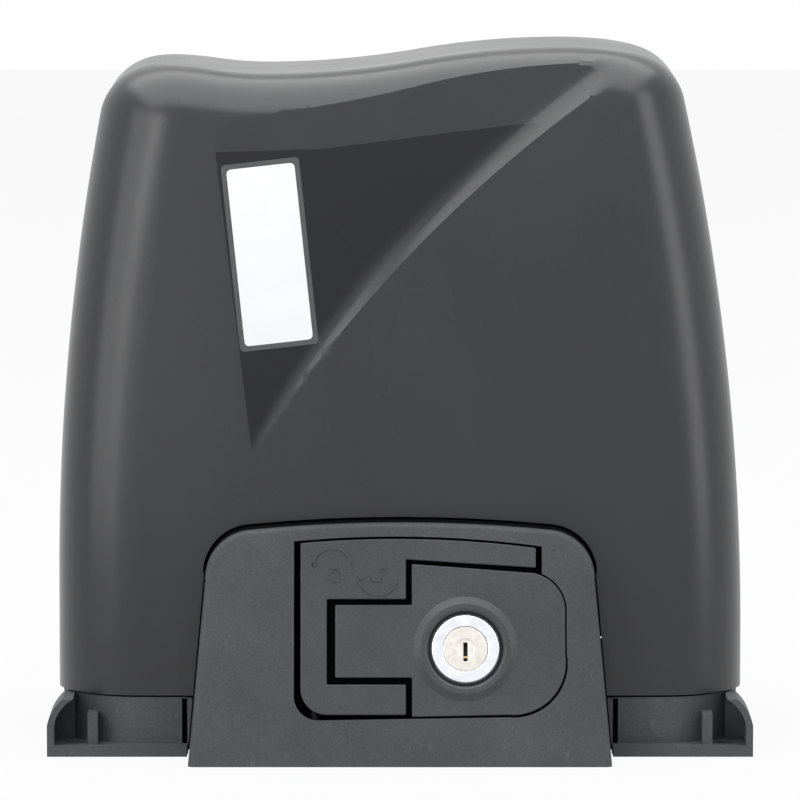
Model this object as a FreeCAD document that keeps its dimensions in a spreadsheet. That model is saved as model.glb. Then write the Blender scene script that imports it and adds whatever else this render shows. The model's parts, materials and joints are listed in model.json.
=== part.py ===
"""Sliding gate motor: rack-pinion gate operator with a keyed release lever.

World frame, millimetres: X runs along the gate (right seen from the lever side), Y runs from the
lever side to the rack side, Z is up.  The origin is the centre of the four anchor holes, on the
underside of the foot.  The lever panel leans back, so its pieces are drawn in the panel frame:
x across, w up the slope from the foot, out along the panel's outward normal.
"""
import FreeCAD, Part
import math
import os
import Sketcher
from FreeCAD import Placement, Rotation, Vector

SIZES = [
    # name, value, what it is
    ("foot_width", 250.0, "foot plate across the anchor ears"),
    ("foot_depth", 160.0, "foot plate front to back"),
    ("foot_thick", 4.0, "foot plate thickness"),
    ("tray_depth", 149.0, "tray wall, outside depth"),
    ("tray_corner", 30.0, "tray wall, outside corner radius"),
    ("tray_wall", 3.5, "tray wall thickness"),
    ("tray_top", 20.5, "height of the tray wall"),
    ("anchor_x", 231.0, "anchor hole spacing across"),
    ("anchor_y", 142.0, "anchor hole spacing front to back"),
    ("anchor_hole", 7.0, "anchor hole diameter"),
    ("ear_skin", 2.5, "thickness of the curved ear skin"),
    ("ear_straight", 11.0, "height where the ear skin starts to curve in"),
    ("ear_top_x", 119.5, "ear skin's outer edge at the tray top"),
    ("ear_curve", 16.0, "radius of the ear skin's curve"),
    ("ear_depth", 22.0, "ear length along Y"),
    ("rib_x", 108.9, "upright gusset beside each ear pocket"),
    ("rib_width", 3.6, "gusset width"),
    ("rib_top", 15.0, "gusset height"),
    ("panel_y", -103.0, "front edge of the release housing at the floor"),
    ("panel_lean", 11.0, "lean of the lever panel, degrees"),
    ("house_foot", 74.5, "release housing half-width at the floor"),
    ("house_shoulder", 68.6, "half-width where the top corners start"),
    ("house_corner", 17.0, "release housing top corner radius"),
    ("house_side_top", 64.0, "height where the top corners start"),
    ("house_top_edge", 81.6, "height of the housing at the ends of its arched top"),
    ("house_top_x", 53.0, "half-width of the arched top"),
    ("house_arch", 541.0, "radius of the arched top"),
    ("house_wall", 3.0, "release housing wall"),
    ("house_back", -64.3, "rear edge of the release housing"),
    ("house_rim", 2.2, "rounded rim of the panel"),
    ("recess_deep", 11.0, "depth of the lever recess"),
    ("recess_floor", 2.5, "recess floor thickness"),
    ("recess_left", -37.3, "recess left edge"),
    ("recess_top", 79.4, "recess top at its left end"),
    ("recess_bottom", 16.4, "recess bottom"),
    ("recess_corner", 8.5, "recess lower left corner radius"),
    ("lever_left", -35.0, "lever left edge"),
    ("lever_top", 78.8, "lever top at its left end"),
    ("lever_arm_end", 47.8, "right end of the upper arm"),
    ("lever_arm_top", 77.1, "top of the upper arm at its right end"),
    ("lever_arm_low", 70.1, "underside of the upper arm at its right end"),
    ("lever_arch", 380.0, "radius of the lever's arched top"),
    ("lever_block_right", 2.1, "right edge of the corner block and of the lower arm"),
    ("lever_block_top", 73.0, "underside of the upper arm at the block"),
    ("lever_block_low", 59.0, "underside of the corner block"),
    ("lever_column", -25.7, "inner edge of the column"),
    ("lever_low_top", 29.0, "top of the lower arm"),
    ("lever_bottom", 18.3, "lever bottom"),
    ("lever_corner", 9.2, "lower left corner radius"),
    ("lever_thick", 6.5, "lever thickness"),
    ("web_thick", 2.0, "web behind the lock plate"),
    ("plate_left", 4.2, "left edge of the lock plate's body"),
    ("plate_tab", -22.8, "left end of the lock plate's tab"),
    ("plate_tab_top", 57.0, "top of the tab"),
    ("plate_tab_low", 31.4, "underside of the tab"),
    ("plate_right", 58.1, "right edge of the lock plate"),
    ("plate_top", 71.4, "lock plate top at its left end"),
    ("plate_shoulder", 68.2, "lock plate top at its right shoulder"),
    ("plate_bottom", 17.6, "lock plate bottom"),
    ("plate_thick", 4.2, "lock plate thickness"),
    ("plate_turn_x", 38.0, "start of the lock plate's lower right curve"),
    ("plate_turn_w", 18.3, "height of the start of that curve"),
    ("plate_low_curve", 18.65, "radius of the lower right curve"),
    ("plate_side_low", 40.0, "lower end of the lock plate's straight right edge"),
    ("plate_side_high", 54.0, "upper end of that edge"),
    ("plate_high_curve", 13.6, "radius of the upper right curve"),
    ("plate_shoulder_x", 47.0, "upper end of that curve"),
    ("seam", 0.5, "thin gap round the right of the lock plate"),
    ("hinge_x", -30.0, "lever hinge axis"),
    ("hinge_deep", 3.2, "hinge axis behind the panel face"),
    ("hinge_radius", 1.5, "hinge pin radius"),
    ("hinge_low", 12.6, "lower end of the hinge pin"),
    ("hinge_high", 81.8, "upper end of the hinge pin"),
    ("lock_x", 23.0, "lock centre across"),
    ("lock_w", 41.5, "lock centre up the panel"),
    ("lock_bezel", 12.4, "lock bezel radius"),
    ("lock_barrel", 9.0, "lock barrel radius"),
    ("lock_plug", 7.9, "lock plug radius"),
    ("lock_deep", 14.0, "lock barrel end behind the face"),
    ("lock_cam_reach", 19.0, "lock cam length"),
    ("lock_cam_wide", 8.0, "lock cam width"),
    ("lock_cam_thick", 2.4, "lock cam thickness"),
    ("lock_well", 13.2, "well in the lock plate round the bezel"),
    ("lock_ring", 18.4, "outer radius of the raised ring"),
    ("lock_ring_high", 1.6, "height of the raised ring"),
    ("run_gap", 0.3, "gap between pieces that move past each other"),
    ("fit_gap", 0.05, "running clearance on shafts and pins"),
    ("cover_width", 244.0, "cover width at its foot"),
    ("cover_depth", 152.0, "cover depth at its foot"),
    ("cover_foot", 21.2, "underside of the cover"),
    ("cover_wall", 2.8, "cover wall"),
    ("cover_corner", 28.0, "cover upright corner radius"),
    ("cover_brow", 24.0, "cover top edge radius"),
    ("side_left_start", 60.0, "height where the left side starts to lean"),
    ("side_left_radius", 930.0, "radius of the left side"),
    ("side_right_start", 40.0, "height where the right side starts to lean"),
    ("side_right_radius", 900.0, "radius of the right side"),
    ("face_start", 40.0, "height where front and back start to lean"),
    ("face_radius", 1000.0, "radius of the front and back in side view"),
    ("face_bow", 3.0, "bow of the front and back in plan"),
    ("wave_left_in", 36.0, "left crest, in from the cover's left side"),
    ("wave_left_z", 242.4, "left crest height"),
    ("wave_dip_in", 74.0, "dip, in from the cover's left side"),
    ("wave_dip_z", 239.5, "dip height"),
    ("wave_right_in", 63.0, "right crest, in from the cover's right side"),
    ("wave_right_z", 248.8, "right crest height"),
    ("wave_end_radius", 130.0, "radius right of the right crest"),
    ("swoosh_turn", 2.2, "turn of the swoosh floor from the front face, degrees"),
    ("swoosh_pivot_in", 27.0, "upright line that the swoosh floor turns about, in from the left side"),
    ("swoosh_radius", 300.0, "radius of the crease"),
    ("swoosh_tip_in", 64.2, "lower end of the crease, in from the left side"),
    ("swoosh_tip_z", 114.5, "height of the crease's lower end"),
    ("swoosh_end_in", 53.8, "upper end of the crease, in from the right side"),
    ("swoosh_end_z", 225.0, "height of the crease's upper end"),
    ("cut_gap", 0.8, "gap round the housing in the cover's cut-out"),
    ("notch_deep", 4.0, "depth of the cover screw's channel"),
    ("notch_half", 7.0, "half-width of the screw's channel"),
    ("notch_top", 39.0, "top of the screw's channel"),
    ("cover_screw_z", 31.0, "height of the cover screws"),
    ("cover_screw", 2.0, "cover screw radius"),
    ("cover_head", 4.5, "cover screw head radius"),
    ("rear_half", 50.0, "rear plate half-width"),
    ("rear_top", 108.0, "rear plate top"),
    ("rear_corner", 16.0, "rear plate top corner radius"),
    ("out_z", 58.0, "height of the output shaft"),
    ("gear_y", -8.0, "plane of the worm wheel and the motor axis"),
    ("worm_module", 2.0, "axial module of the worm"),
    ("worm_pitch_r", 10.0, "worm pitch radius"),
    ("wheel_teeth", 27.0, "worm wheel teeth"),
    ("wheel_width", 20.0, "worm wheel face width"),
    ("mesh_slack", 0.3, "worm flank clearance each side"),
    ("pinion_module", 4.0, "pinion module"),
    ("pinion_teeth", 16.0, "pinion teeth"),
    ("pinion_y", 84.0, "front face of the pinion"),
    ("pinion_width", 24.0, "pinion face width"),
    ("shaft_front_r", 8.5, "output shaft radius in the front bearing"),
    ("shaft_wheel_r", 11.0, "output shaft radius under the wheel"),
    ("shaft_rear_r", 12.5, "output shaft radius in the rear bearing"),
    ("shaft_pinion_r", 10.0, "output shaft radius under the pinion"),
    ("rod_r", 3.5, "bore for the clutch rod"),
    ("box_wall", 5.0, "gearbox wall"),
    ("box_tunnel_r", 18.5, "worm tunnel radius"),
    ("box_front", -38.0, "front face of the gearbox"),
    ("box_rear", 60.0, "rear face of the gearbox"),
    ("foot_boss", 10.0, "height of the tray's gearbox bosses"),
    ("motor_r", 47.0, "stator radius"),
    ("rotor_r", 24.7, "rotor radius"),
    ("stator_start", 48.0, "left end of the stator stack"),
    ("stator_long", 36.0, "stator stack length"),
    ("motor_end", 98.0, "right end of the motor"),
    ("motor_shaft_r", 7.5, "motor shaft radius"),
    ("lift", 270.0, "travel of the cover when it is taken off"),
    ("slide_travel", 14.142, "travel of the release slider"),
    ("pin_travel", 5.0, "travel of the release pin and the clutch"),
    ("arm_reach", 10.0, "release arm radius about the hinge"),
    ("slide_z", 58.0, "height of the release slider"),
    ("fork_front", -81.7, "front of the fork on the release slider"),
    ("pin_y", 11.0, "place of the clutch's cross pin"),
]

FOLDER = "parts"
doc = FreeCAD.newDocument("SlidingGateMotor")
sheet = doc.addObject("Spreadsheet::Sheet", "Sizes")
for row, (alias, amount, note) in enumerate(SIZES, start=1):
    sheet.set("A%d" % row, alias)
    sheet.set("B%d" % row, str(amount))
    sheet.set("C%d" % row, note)
    sheet.setAlias("B%d" % row, alias)
doc.recompute()


class Size:
    """A number together with the expression that works it out from the sheet."""

    def __init__(self, number, text):
        self.number = number
        self.text = text

    def __add__(self, other):
        other = as_size(other)
        return Size(self.number + other.number, "(%s + %s)" % (self.text, other.text))

    def __sub__(self, other):
        other = as_size(other)
        return Size(self.number - other.number, "(%s - %s)" % (self.text, other.text))

    def __mul__(self, other):
        other = as_size(other)
        return Size(self.number * other.number, "(%s * %s)" % (self.text, other.text))

    def __truediv__(self, other):
        other = as_size(other)
        return Size(self.number / other.number, "(%s / %s)" % (self.text, other.text))

    def __radd__(self, other):
        return as_size(other) + self

    def __rsub__(self, other):
        return as_size(other) - self

    def __rmul__(self, other):
        return as_size(other) * self

    def __neg__(self):
        return Size(-self.number, "(-1 * %s)" % self.text)


def as_size(item):
    return item if isinstance(item, Size) else Size(float(item), repr(float(item)))


def root(item):
    return Size(math.sqrt(item.number), "sqrt(%s)" % item.text)


def sine(item):
    return Size(math.sin(math.radians(item.number)), "sin(%s * 1deg)" % item.text)


def cosine(item):
    return Size(math.cos(math.radians(item.number)), "cos(%s * 1deg)" % item.text)


class Sheet:
    """Reads the driving sizes back from the document's sheet."""

    def __getattr__(self, name):
        return Size(float(sheet.get(name)), "Sizes." + name)


S = Sheet()
TRAY_WIDTH = S.cover_width - 3
TRAY_LEFT = -TRAY_WIDTH / 2
COVER_HALF = S.cover_width / 2
CREST_LEFT = S.wave_left_in - COVER_HALF
DIP = S.wave_dip_in - COVER_HALF
CREST_RIGHT = COVER_HALF - S.wave_right_in
SWOOSH_TIP = S.swoosh_tip_in - COVER_HALF
SWOOSH_END = COVER_HALF - S.swoosh_end_in
DRUM_ROOM = S.worm_module * S.wheel_teeth / 2 + S.worm_module + 2
DRUM = DRUM_ROOM + S.box_wall + 1


def bind(item, prop, size):
    """Tie one property to the sheet."""
    size = as_size(size)
    if "Sizes." in size.text:
        item.setExpression(prop, size.text)


def panel_point(x, w, out):
    """World place of a point in the panel frame."""
    y = S.panel_y + as_size(w) * sine(S.panel_lean) - as_size(out) * cosine(S.panel_lean)
    z = as_size(w) * cosine(S.panel_lean) + as_size(out) * sine(S.panel_lean)
    return (as_size(x), y, z)


TURNS = {
    # frame: axis of the turn, fixed angle, share of the panel's lean
    "world": ((1, 0, 0), 0.0, 0.0),
    "front": ((1, 0, 0), 90.0, 0.0),
    "along_x": ((0, 1, 0), 90.0, 0.0),
    "along_y": ((1, 0, 0), -90.0, 0.0),
    "panel": ((1, 0, 0), 90.0, -1.0),
    "panel_up": ((1, 0, 0), 0.0, -1.0),
}


def put(item, at, frame="world"):
    """Set an object's place from sizes; panel frames take (x, w, out)."""
    axis, fixed, lean = TURNS[frame]
    where = panel_point(*at) if lean else tuple(as_size(part) for part in at)
    angle = as_size(fixed) + S.panel_lean * lean if lean else as_size(fixed)
    item.Placement = Placement(Vector(*(part.number for part in where)), Rotation(Vector(*axis), angle.number))
    for name, part in zip("xyz", where):
        bind(item, "Placement.Base." + name, part)
    if lean:
        bind(item, "Placement.Rotation.Angle", angle * 1)
    return item


def box(name, low, high, frame="world"):
    """A block between two corners."""
    item = doc.addObject("Part::Box", name)
    low = [as_size(part) for part in low]
    high = [as_size(part) for part in high]
    for prop, near, far in zip(("Length", "Width", "Height"), low, high):
        span = far - near
        setattr(item, prop, span.number)
        bind(item, prop, span)
    return put(item, low, frame)


def rod(name, at, radius, length, frame="world"):
    """A cylinder that starts at a point and runs along the frame's own Z."""
    item = doc.addObject("Part::Cylinder", name)
    item.Radius = as_size(radius).number
    item.Height = as_size(length).number
    bind(item, "Radius", radius)
    bind(item, "Height", length)
    return put(item, at, frame)


def fuse(name, *items):
    item = doc.addObject("Part::MultiFuse", name)
    item.Shapes = list(items)
    return item


def common(name, *items):
    item = doc.addObject("Part::MultiCommon", name)
    item.Shapes = list(items)
    return item


def cut(name, base, *tools):
    item = doc.addObject("Part::Cut", name)
    item.Base = base
    item.Tool = tools[0] if len(tools) == 1 else fuse(name + "_tools", *tools)
    return item


def group(name, *items):
    """Separate solids that share one node."""
    item = doc.addObject("Part::Compound", name)
    item.Links = list(items)
    return item


def rounded(name, base, radius, wanted):
    """Round the edges whose middle and box the test accepts."""
    doc.recompute()
    picked = []
    for index, edge in enumerate(base.Shape.Edges, start=1):
        middle = edge.valueAt((edge.FirstParameter + edge.LastParameter) / 2)
        if wanted(edge, middle):
            picked.append((index, as_size(radius).number, as_size(radius).number))
    if not picked:
        raise ValueError("no edge to round on " + name)
    item = doc.addObject("Part::Fillet", name)
    item.Base = base
    item.Edges = picked
    return item


def add_outline(drawing, points):
    """Draw a closed outline, counter-clockwise.

    A point is (x, y), or (x, y, radius) where the stretch to the next point is an arc; a positive
    radius has its centre on the left of the travel, which is the inside of the outline.
    """
    places = [(as_size(point[0]), as_size(point[1])) for point in points]
    ends = []
    for index, point in enumerate(points):
        start = Vector(places[index][0].number, places[index][1].number, 0)
        nxt = places[(index + 1) % len(points)]
        stop = Vector(nxt[0].number, nxt[1].number, 0)
        if len(point) == 2:
            ends.append((drawing.addGeometry(Part.LineSegment(start, stop), False), 1, 2))
            continue
        radius = as_size(point[2])
        side = 1.0 if radius.number > 0 else -1.0
        reach = abs(radius.number)
        chord = stop - start
        left = Vector(-chord.y, chord.x, 0).normalize()
        centre = (start + stop) * 0.5 + left * side * math.sqrt(reach ** 2 - chord.Length ** 2 / 4)
        through = centre - left * side * reach
        # a sketch keeps every arc anticlockwise, so an arc with its centre on the right is drawn backwards
        if side > 0:
            arc = drawing.addGeometry(Part.Arc(start, through, stop), False)
            ends.append((arc, 1, 2))
        else:
            arc = drawing.addGeometry(Part.Arc(stop, through, start), False)
            ends.append((arc, 2, 1))
        rule = drawing.addConstraint(Sketcher.Constraint("Radius", arc, reach))
        bind(drawing, "Constraints[%d]" % rule, radius if side > 0 else -radius)
    for index, (line, first, last) in enumerate(ends):
        after = ends[(index + 1) % len(ends)]
        drawing.addConstraint(Sketcher.Constraint("Coincident", line, last, after[0], after[1]))
        for kind, size in zip(("DistanceX", "DistanceY"), places[index]):
            rule = drawing.addConstraint(Sketcher.Constraint(kind, -1, 1, line, first, size.number))
            bind(drawing, "Constraints[%d]" % rule, size)


def outline(name, points, frame="world", at=(0, 0, 0)):
    """A closed sketch in the frame's own XY plane."""
    drawing = doc.addObject("Sketcher::SketchObject", name)
    put(drawing, at, frame)
    add_outline(drawing, points)
    return drawing


def widened(name, drawing, amount):
    """The same outline moved outwards with sharp corners, or inwards when the amount is negative."""
    item = doc.addObject("Part::Offset2D", name)
    item.Source = drawing
    item.Value = as_size(amount).number
    item.Join = 2 if item.Value > 0 else 0
    bind(item, "Value", amount)
    return item


def prism(name, drawing, ahead, behind=0.0):
    """Extrude a sketch along its own normal."""
    item = doc.addObject("Part::Extrusion", name)
    item.Base = drawing
    item.DirMode = "Normal"
    item.Solid = True
    item.LengthFwd = as_size(ahead).number
    item.LengthRev = as_size(behind).number
    bind(item, "LengthFwd", ahead)
    bind(item, "LengthRev", behind)
    return item


def front_prism(name, points, y_low, y_high, grow=None):
    """Extrude an outline drawn in X and Z from one Y to another."""
    drawing = outline(name + "_outline", points, "front", (0, y_high, 0))
    if grow is not None:
        drawing = widened(name + "_wide", drawing, grow)
    return prism(name, drawing, as_size(y_high) - y_low)


def panel_prism(name, points, low, high, grow=None):
    """Extrude an outline drawn on the panel from one depth to another."""
    drawing = outline(name + "_outline", points, "panel", (0, 0, low))
    if grow is not None:
        drawing = widened(name + "_wide", drawing, grow)
    return prism(name, drawing, as_size(high) - low)


PLANES = {"x": ("XY_Plane", "H_Axis"), "y": ("XY_Plane", "V_Axis"), "z": ("XZ_Plane", "V_Axis")}


def body(name):
    return doc.addObject("PartDesign::Body", name)


def body_sketch(owner, plane, name):
    drawing = owner.newObject("Sketcher::SketchObject", name)
    for feature in owner.Origin.OriginFeatures:
        if feature.Role == plane:
            drawing.AttachmentSupport = [(feature, "")]
    drawing.MapMode = "FlatFace"
    return drawing


def turned(name, axis, profile, at=(0, 0, 0), frame="world"):
    """A lathe-turned body: the profile is (along, radius) points about the given own axis."""
    owner = body(name)
    plane, line = PLANES[axis]
    drawing = body_sketch(owner, plane, name + "_profile")
    points = profile if axis == "x" else swapped(profile)
    if area_sign(points) < 0:
        points = back_to_front(points)
    add_outline(drawing, points)
    spun = owner.newObject("PartDesign::Revolution", name + "_turn")
    spun.Profile = drawing
    spun.ReferenceAxis = (drawing, [line])
    spun.Angle = 360.0
    return put(owner, at, frame)


def back_to_front(points):
    """The same outline, travelled the other way."""
    result = []
    for index in range(len(points) - 1, -1, -1):
        before = points[index - 1]
        bend = (-as_size(before[2]),) if len(before) == 3 else ()
        result.append((points[index][0], points[index][1]) + bend)
    return result


def mirrored(points):
    """The outline on the other side of the frame's YZ plane."""
    flipped = [(-as_size(point[0]), point[1]) + tuple(-as_size(bend) for bend in point[2:]) for point in points]
    return back_to_front(flipped)


def swapped(points):
    return [(point[1], point[0]) + tuple(-as_size(bend) for bend in point[2:]) for point in points]


def area_sign(points):
    total = 0.0
    for index, point in enumerate(points):
        after = points[(index + 1) % len(points)]
        here = [as_size(part).number for part in point[:2]]
        there = [as_size(part).number for part in after[:2]]
        total += here[0] * there[1] - there[0] * here[1]
    return total


def sleeve(low, high, inner, outer):
    """Profile of a plain ring or, with no bore, a disc."""
    return [(low, inner), (high, inner), (high, outer), (low, outer)]


def round_rect(half_width, half_depth, radius):
    """A rectangle with round corners about the origin."""
    wide = as_size(half_width)
    deep = as_size(half_depth)
    return [
        (radius - wide, -deep), (wide - radius, -deep, radius), (wide, radius - deep),
        (wide, deep - radius, radius), (wide - radius, deep), (radius - wide, deep, radius),
        (-wide, deep - radius), (-wide, radius - deep, radius),
    ]


SUBPARTS = []


def keep(name, item):
    """Name a finished sub-part; its label is the name of its file."""
    item.Label = name
    SUBPARTS.append(item)
    return item


# ---------------------------------------------------------------- base tray

EARS = [(side, end) for side in (-1, 1) for end in (-1, 1)]
FEET = [(side * 50.0, deep) for side in (-1, 1) for deep in (-22.0, 38.0)]
HOUSE_SCREWS = [-60.0, -20.0, 20.0, 60.0]


def ear(side, end):
    """Curved skin that stands outside the tray corner, open towards the front or the back."""
    half = S.foot_width / 2
    skin = [(104.0, 0), (half, 0), (half, S.ear_straight, S.ear_curve), (S.ear_top_x, S.tray_top), (104.0, S.tray_top)]
    hollow = [
        (104.0, S.foot_thick), (half - S.ear_skin, S.foot_thick),
        (half - S.ear_skin, S.ear_straight, S.ear_curve - S.ear_skin),
        (S.ear_top_x - 3.9, S.tray_top + 0.1), (104.0, S.tray_top + 0.1),
    ]
    if side < 0:
        skin = mirrored(skin)
        hollow = mirrored(hollow)
    edge = S.foot_depth / 2
    near, far = (edge - S.ear_depth, edge) if end > 0 else (-edge, S.ear_depth - edge)
    closed = S.ear_skin
    open_near, open_far = (near + closed, far + 1) if end > 0 else (near - 1, far - closed)
    tag = "%s%s" % ("left" if side < 0 else "right", "back" if end > 0 else "front")
    block = front_prism("ear_" + tag, skin, near, far)
    pocket = front_prism("ear_pocket_" + tag, hollow, open_near, open_far)
    return cut("ear_skin_" + tag, block, pocket)


def gusset(side, end):
    """Upright web between the rounded tray corner and the line of the front or back wall."""
    edge = S.tray_depth / 2 + 3
    left = S.rib_x * side - S.rib_width / 2
    near, far = (edge - 18, edge) if end > 0 else (-edge, 18 - edge)
    return box("gusset", (left, near, 0), (left + S.rib_width, far, S.rib_top))


def base_tray():
    plate = prism(
        "foot_plate", outline("foot_outline", round_rect(S.foot_width / 2, S.foot_depth / 2, as_size(2.5))),
        S.foot_thick)
    ring = round_rect(TRAY_WIDTH / 2, S.tray_depth / 2, S.tray_corner)
    room = round_rect(
        TRAY_WIDTH / 2 - S.tray_wall, S.tray_depth / 2 - S.tray_wall, S.tray_corner - S.tray_wall)
    wall = prism("tray_block", outline("tray_outline", ring), S.tray_top)
    cavity = prism("tray_room", outline("tray_room_outline", room, "world", (0, 0, S.foot_thick)), S.tray_top * 2)
    shell = cut(
        "tray_shell",
        fuse("tray_raw", plate, wall, *[ear(*corner) for corner in EARS], *[gusset(*corner) for corner in EARS]),
        cavity)
    door = S.house_foot + 0.9
    mouth = box("house_mouth", (-door, -100, -1), (door, S.house_back + 0.6, S.tray_top * 2))
    inner = S.house_back + 0.6
    lips = [
        box("cross_wall", (-door - 3, inner, 0), (door + 3, inner + 3, S.tray_top - 0.5)),
        box("left_return", (-door - 3, 2 - S.tray_depth / 2, 0), (-door, inner + 3, S.tray_top - 0.5)),
        box("right_return", (door, 2 - S.tray_depth / 2, 0), (door + 3, inner + 3, S.tray_top - 0.5)),
    ]
    bosses = [rod("gearbox_boss", (x, y, 2), 7.0, S.foot_boss - 2) for x, y in FEET]
    post_out = S.cover_width / 2 - S.notch_deep - S.cover_wall - S.run_gap
    posts = [
        box("left_post", (-post_out, -6, 2), (11 - post_out, 6, S.notch_top - 2)),
        box("right_post", (post_out - 11, -6, 2), (post_out, 6, S.notch_top - 2)),
    ]
    holes = [
        rod("anchor_hole", (S.anchor_x / 2 * side, S.anchor_y / 2 * end, -1), S.anchor_hole / 2, S.foot_thick + 2)
        for side, end in EARS
    ]
    holes += [rod("boss_hole", (x, y, S.foot_thick), 2.6, S.foot_boss) for x, y in FEET]
    holes += [rod("cable_hole", (CABLE[0], CABLE[1], -1), 9.0, S.foot_thick + 2)]
    holes += [rod("post_hole", (-post_out - 1, 0, S.cover_screw_z), S.cover_screw + S.fit_gap, 13, "along_x")]
    holes += [rod("post_hole", (post_out - 12, 0, S.cover_screw_z), S.cover_screw + S.fit_gap, 13, "along_x")]
    holes += [rod("wall_hole", (x, inner - 1, 12), 1.7, 5, "along_y") for x in HOUSE_SCREWS]
    bed = fuse("tray_solid", cut("tray_open", shell, mouth), *lips, *bosses, *posts)
    return keep("base_tray", cut("base_tray", bed, *holes))


CABLE = (-50.0, -44.0)


# ---------------------------------------------------------- release housing

def house_outline():
    """The front moulding seen from the front: drafted sides and an arched top."""
    return [
        (-S.house_foot, 0), (S.house_foot, 0), (S.house_shoulder, S.house_side_top, S.house_corner),
        (S.house_top_x, S.house_top_edge, S.house_arch), (-S.house_top_x, S.house_top_edge, S.house_corner),
        (-S.house_shoulder, S.house_side_top),
    ]


def recess_outline():
    """Edge of the lever recess: it follows the lever and the lock plate with their gaps."""
    return [
        (S.recess_left, S.recess_bottom + S.recess_corner, S.recess_corner),
        (S.recess_left + S.recess_corner, S.recess_bottom),
        (S.plate_turn_x, S.plate_turn_w - 0.8, S.plate_low_curve + 0.35),
        (S.plate_right + S.seam, S.plate_side_low), (S.plate_right + S.seam, S.plate_side_high, 14.1),
        (S.lever_arm_end + 2.1, S.plate_shoulder - 0.3), (S.lever_arm_end + 2.1, S.lever_arm_top + S.seam, S.lever_arch),
        (S.recess_left, S.recess_top),
    ]


def release_housing():
    block = front_prism("house_block", house_outline(), -112.0, S.house_back)
    ahead = box("ahead_of_panel", (-90, -20, 0), (90, 120, 45), "panel")
    faced = cut("house_faced", block, ahead)

    def on_rim(edge, middle):
        out = (S.panel_y - middle.y) * cosine(S.panel_lean) + middle.z * sine(S.panel_lean)
        return abs(out.number) < 0.05 and middle.z > 1

    block = rounded("house_rimmed", faced, S.house_rim, on_rim)
    hollow = front_prism("house_hollow", house_outline(), -112.0, S.house_back + 1, -S.house_wall)
    behind = box("panel_skin", (-90, -20, -S.house_wall), (90, 120, 45), "panel")
    shell = cut("house_shell", block, cut("house_room", hollow, behind))
    floor = -S.recess_deep - S.recess_floor
    tub = panel_prism("recess_tub", recess_outline(), floor, -0.5, S.house_wall)
    guide_low = S.slide_z - 3 - S.run_gap
    guide_high = S.slide_z + 3 + S.run_gap
    guides = [
        box("guide_pad", (-14, 53.5, floor - 1.7), (2, 65.8, floor + 0.5), "panel"),
        box("guide_roof", (-14, -78, guide_high), (2, -69, guide_high + 2)),
        box("guide_sill", (-14, -78, guide_low - 2), (2, -69, guide_low)),
    ]
    bosses = [rod("house_boss", (x, -79, 12), 4.5, S.house_back + 79, "along_y") for x in HOUSE_SCREWS]
    bosses += [box("boss_web", (x - 2, -79, 1), (x + 2, S.house_back, 12)) for x in HOUSE_SCREWS]
    solid = fuse("house_solid", shell, common("recess_walls", tub, block), *guides, *bosses)
    cuts = [
        panel_prism("recess_room", recess_outline(), -S.recess_deep, 8.0),
        box("lock_window", (2, 27, floor - 6), (37, 56, -5), "panel"),
        box("fork_window", (-44.5, 51.5, floor - 6), (-15.5, 68.5, -5.6), "panel"),
        rod("hinge_hole", (S.hinge_x, S.hinge_low - 2, -S.hinge_deep), S.hinge_radius + 0.02,
            S.hinge_high - S.hinge_low + 2, "panel_up"),
    ]
    cuts += [rod("house_pilot", (x, S.house_back - 10, 12), 1.5, 12, "along_y") for x in HOUSE_SCREWS]
    return keep("release_housing", cut("release_housing", solid, *cuts))


# ------------------------------------------------------------ release lever

def lever_outline():
    """C-shaped front of the lever: corner block, upper arm, column and lower arm."""
    return [
        (S.lever_left, S.lever_bottom + S.lever_corner, S.lever_corner),
        (S.lever_left + S.lever_corner, S.lever_bottom), (S.lever_block_right, S.lever_bottom),
        (S.lever_block_right, S.lever_low_top), (S.lever_column, S.lever_low_top),
        (S.lever_column, S.lever_block_low), (S.lever_block_right, S.lever_block_low),
        (S.lever_block_right, S.lever_block_top), (S.lever_arm_end, S.lever_arm_low),
        (S.lever_arm_end, S.lever_arm_top, S.lever_arch), (S.lever_left, S.lever_top),
    ]


def plate_outline():
    """T-shaped lock plate with its tab to the left and its round right side."""
    return [
        (S.plate_left, S.plate_bottom), (S.plate_turn_x, S.plate_turn_w, S.plate_low_curve),
        (S.plate_right, S.plate_side_low), (S.plate_right, S.plate_side_high, S.plate_high_curve),
        (S.plate_shoulder_x, S.plate_shoulder), (S.plate_left, S.plate_top),
        (S.plate_left, S.plate_tab_top), (S.plate_tab, S.plate_tab_top),
        (S.plate_tab, S.plate_tab_low), (S.plate_left, S.plate_tab_low),
    ]


def web_outline():
    """Web that joins the column to the lock plate and closes the gaps between them."""
    return [
        (S.hinge_x, S.plate_bottom + 3), (S.plate_turn_x, S.plate_turn_w + 1, S.plate_low_curve - 1),
        (S.plate_right - 1, S.plate_side_low), (S.plate_right - 1, S.plate_side_high, S.plate_high_curve - 1),
        (S.plate_shoulder_x - 0.4, S.plate_shoulder - 0.8), (S.plate_shoulder_x - 0.4, S.lever_arm_top - 2),
        (S.hinge_x, S.lever_arm_top - 1),
    ]


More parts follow.
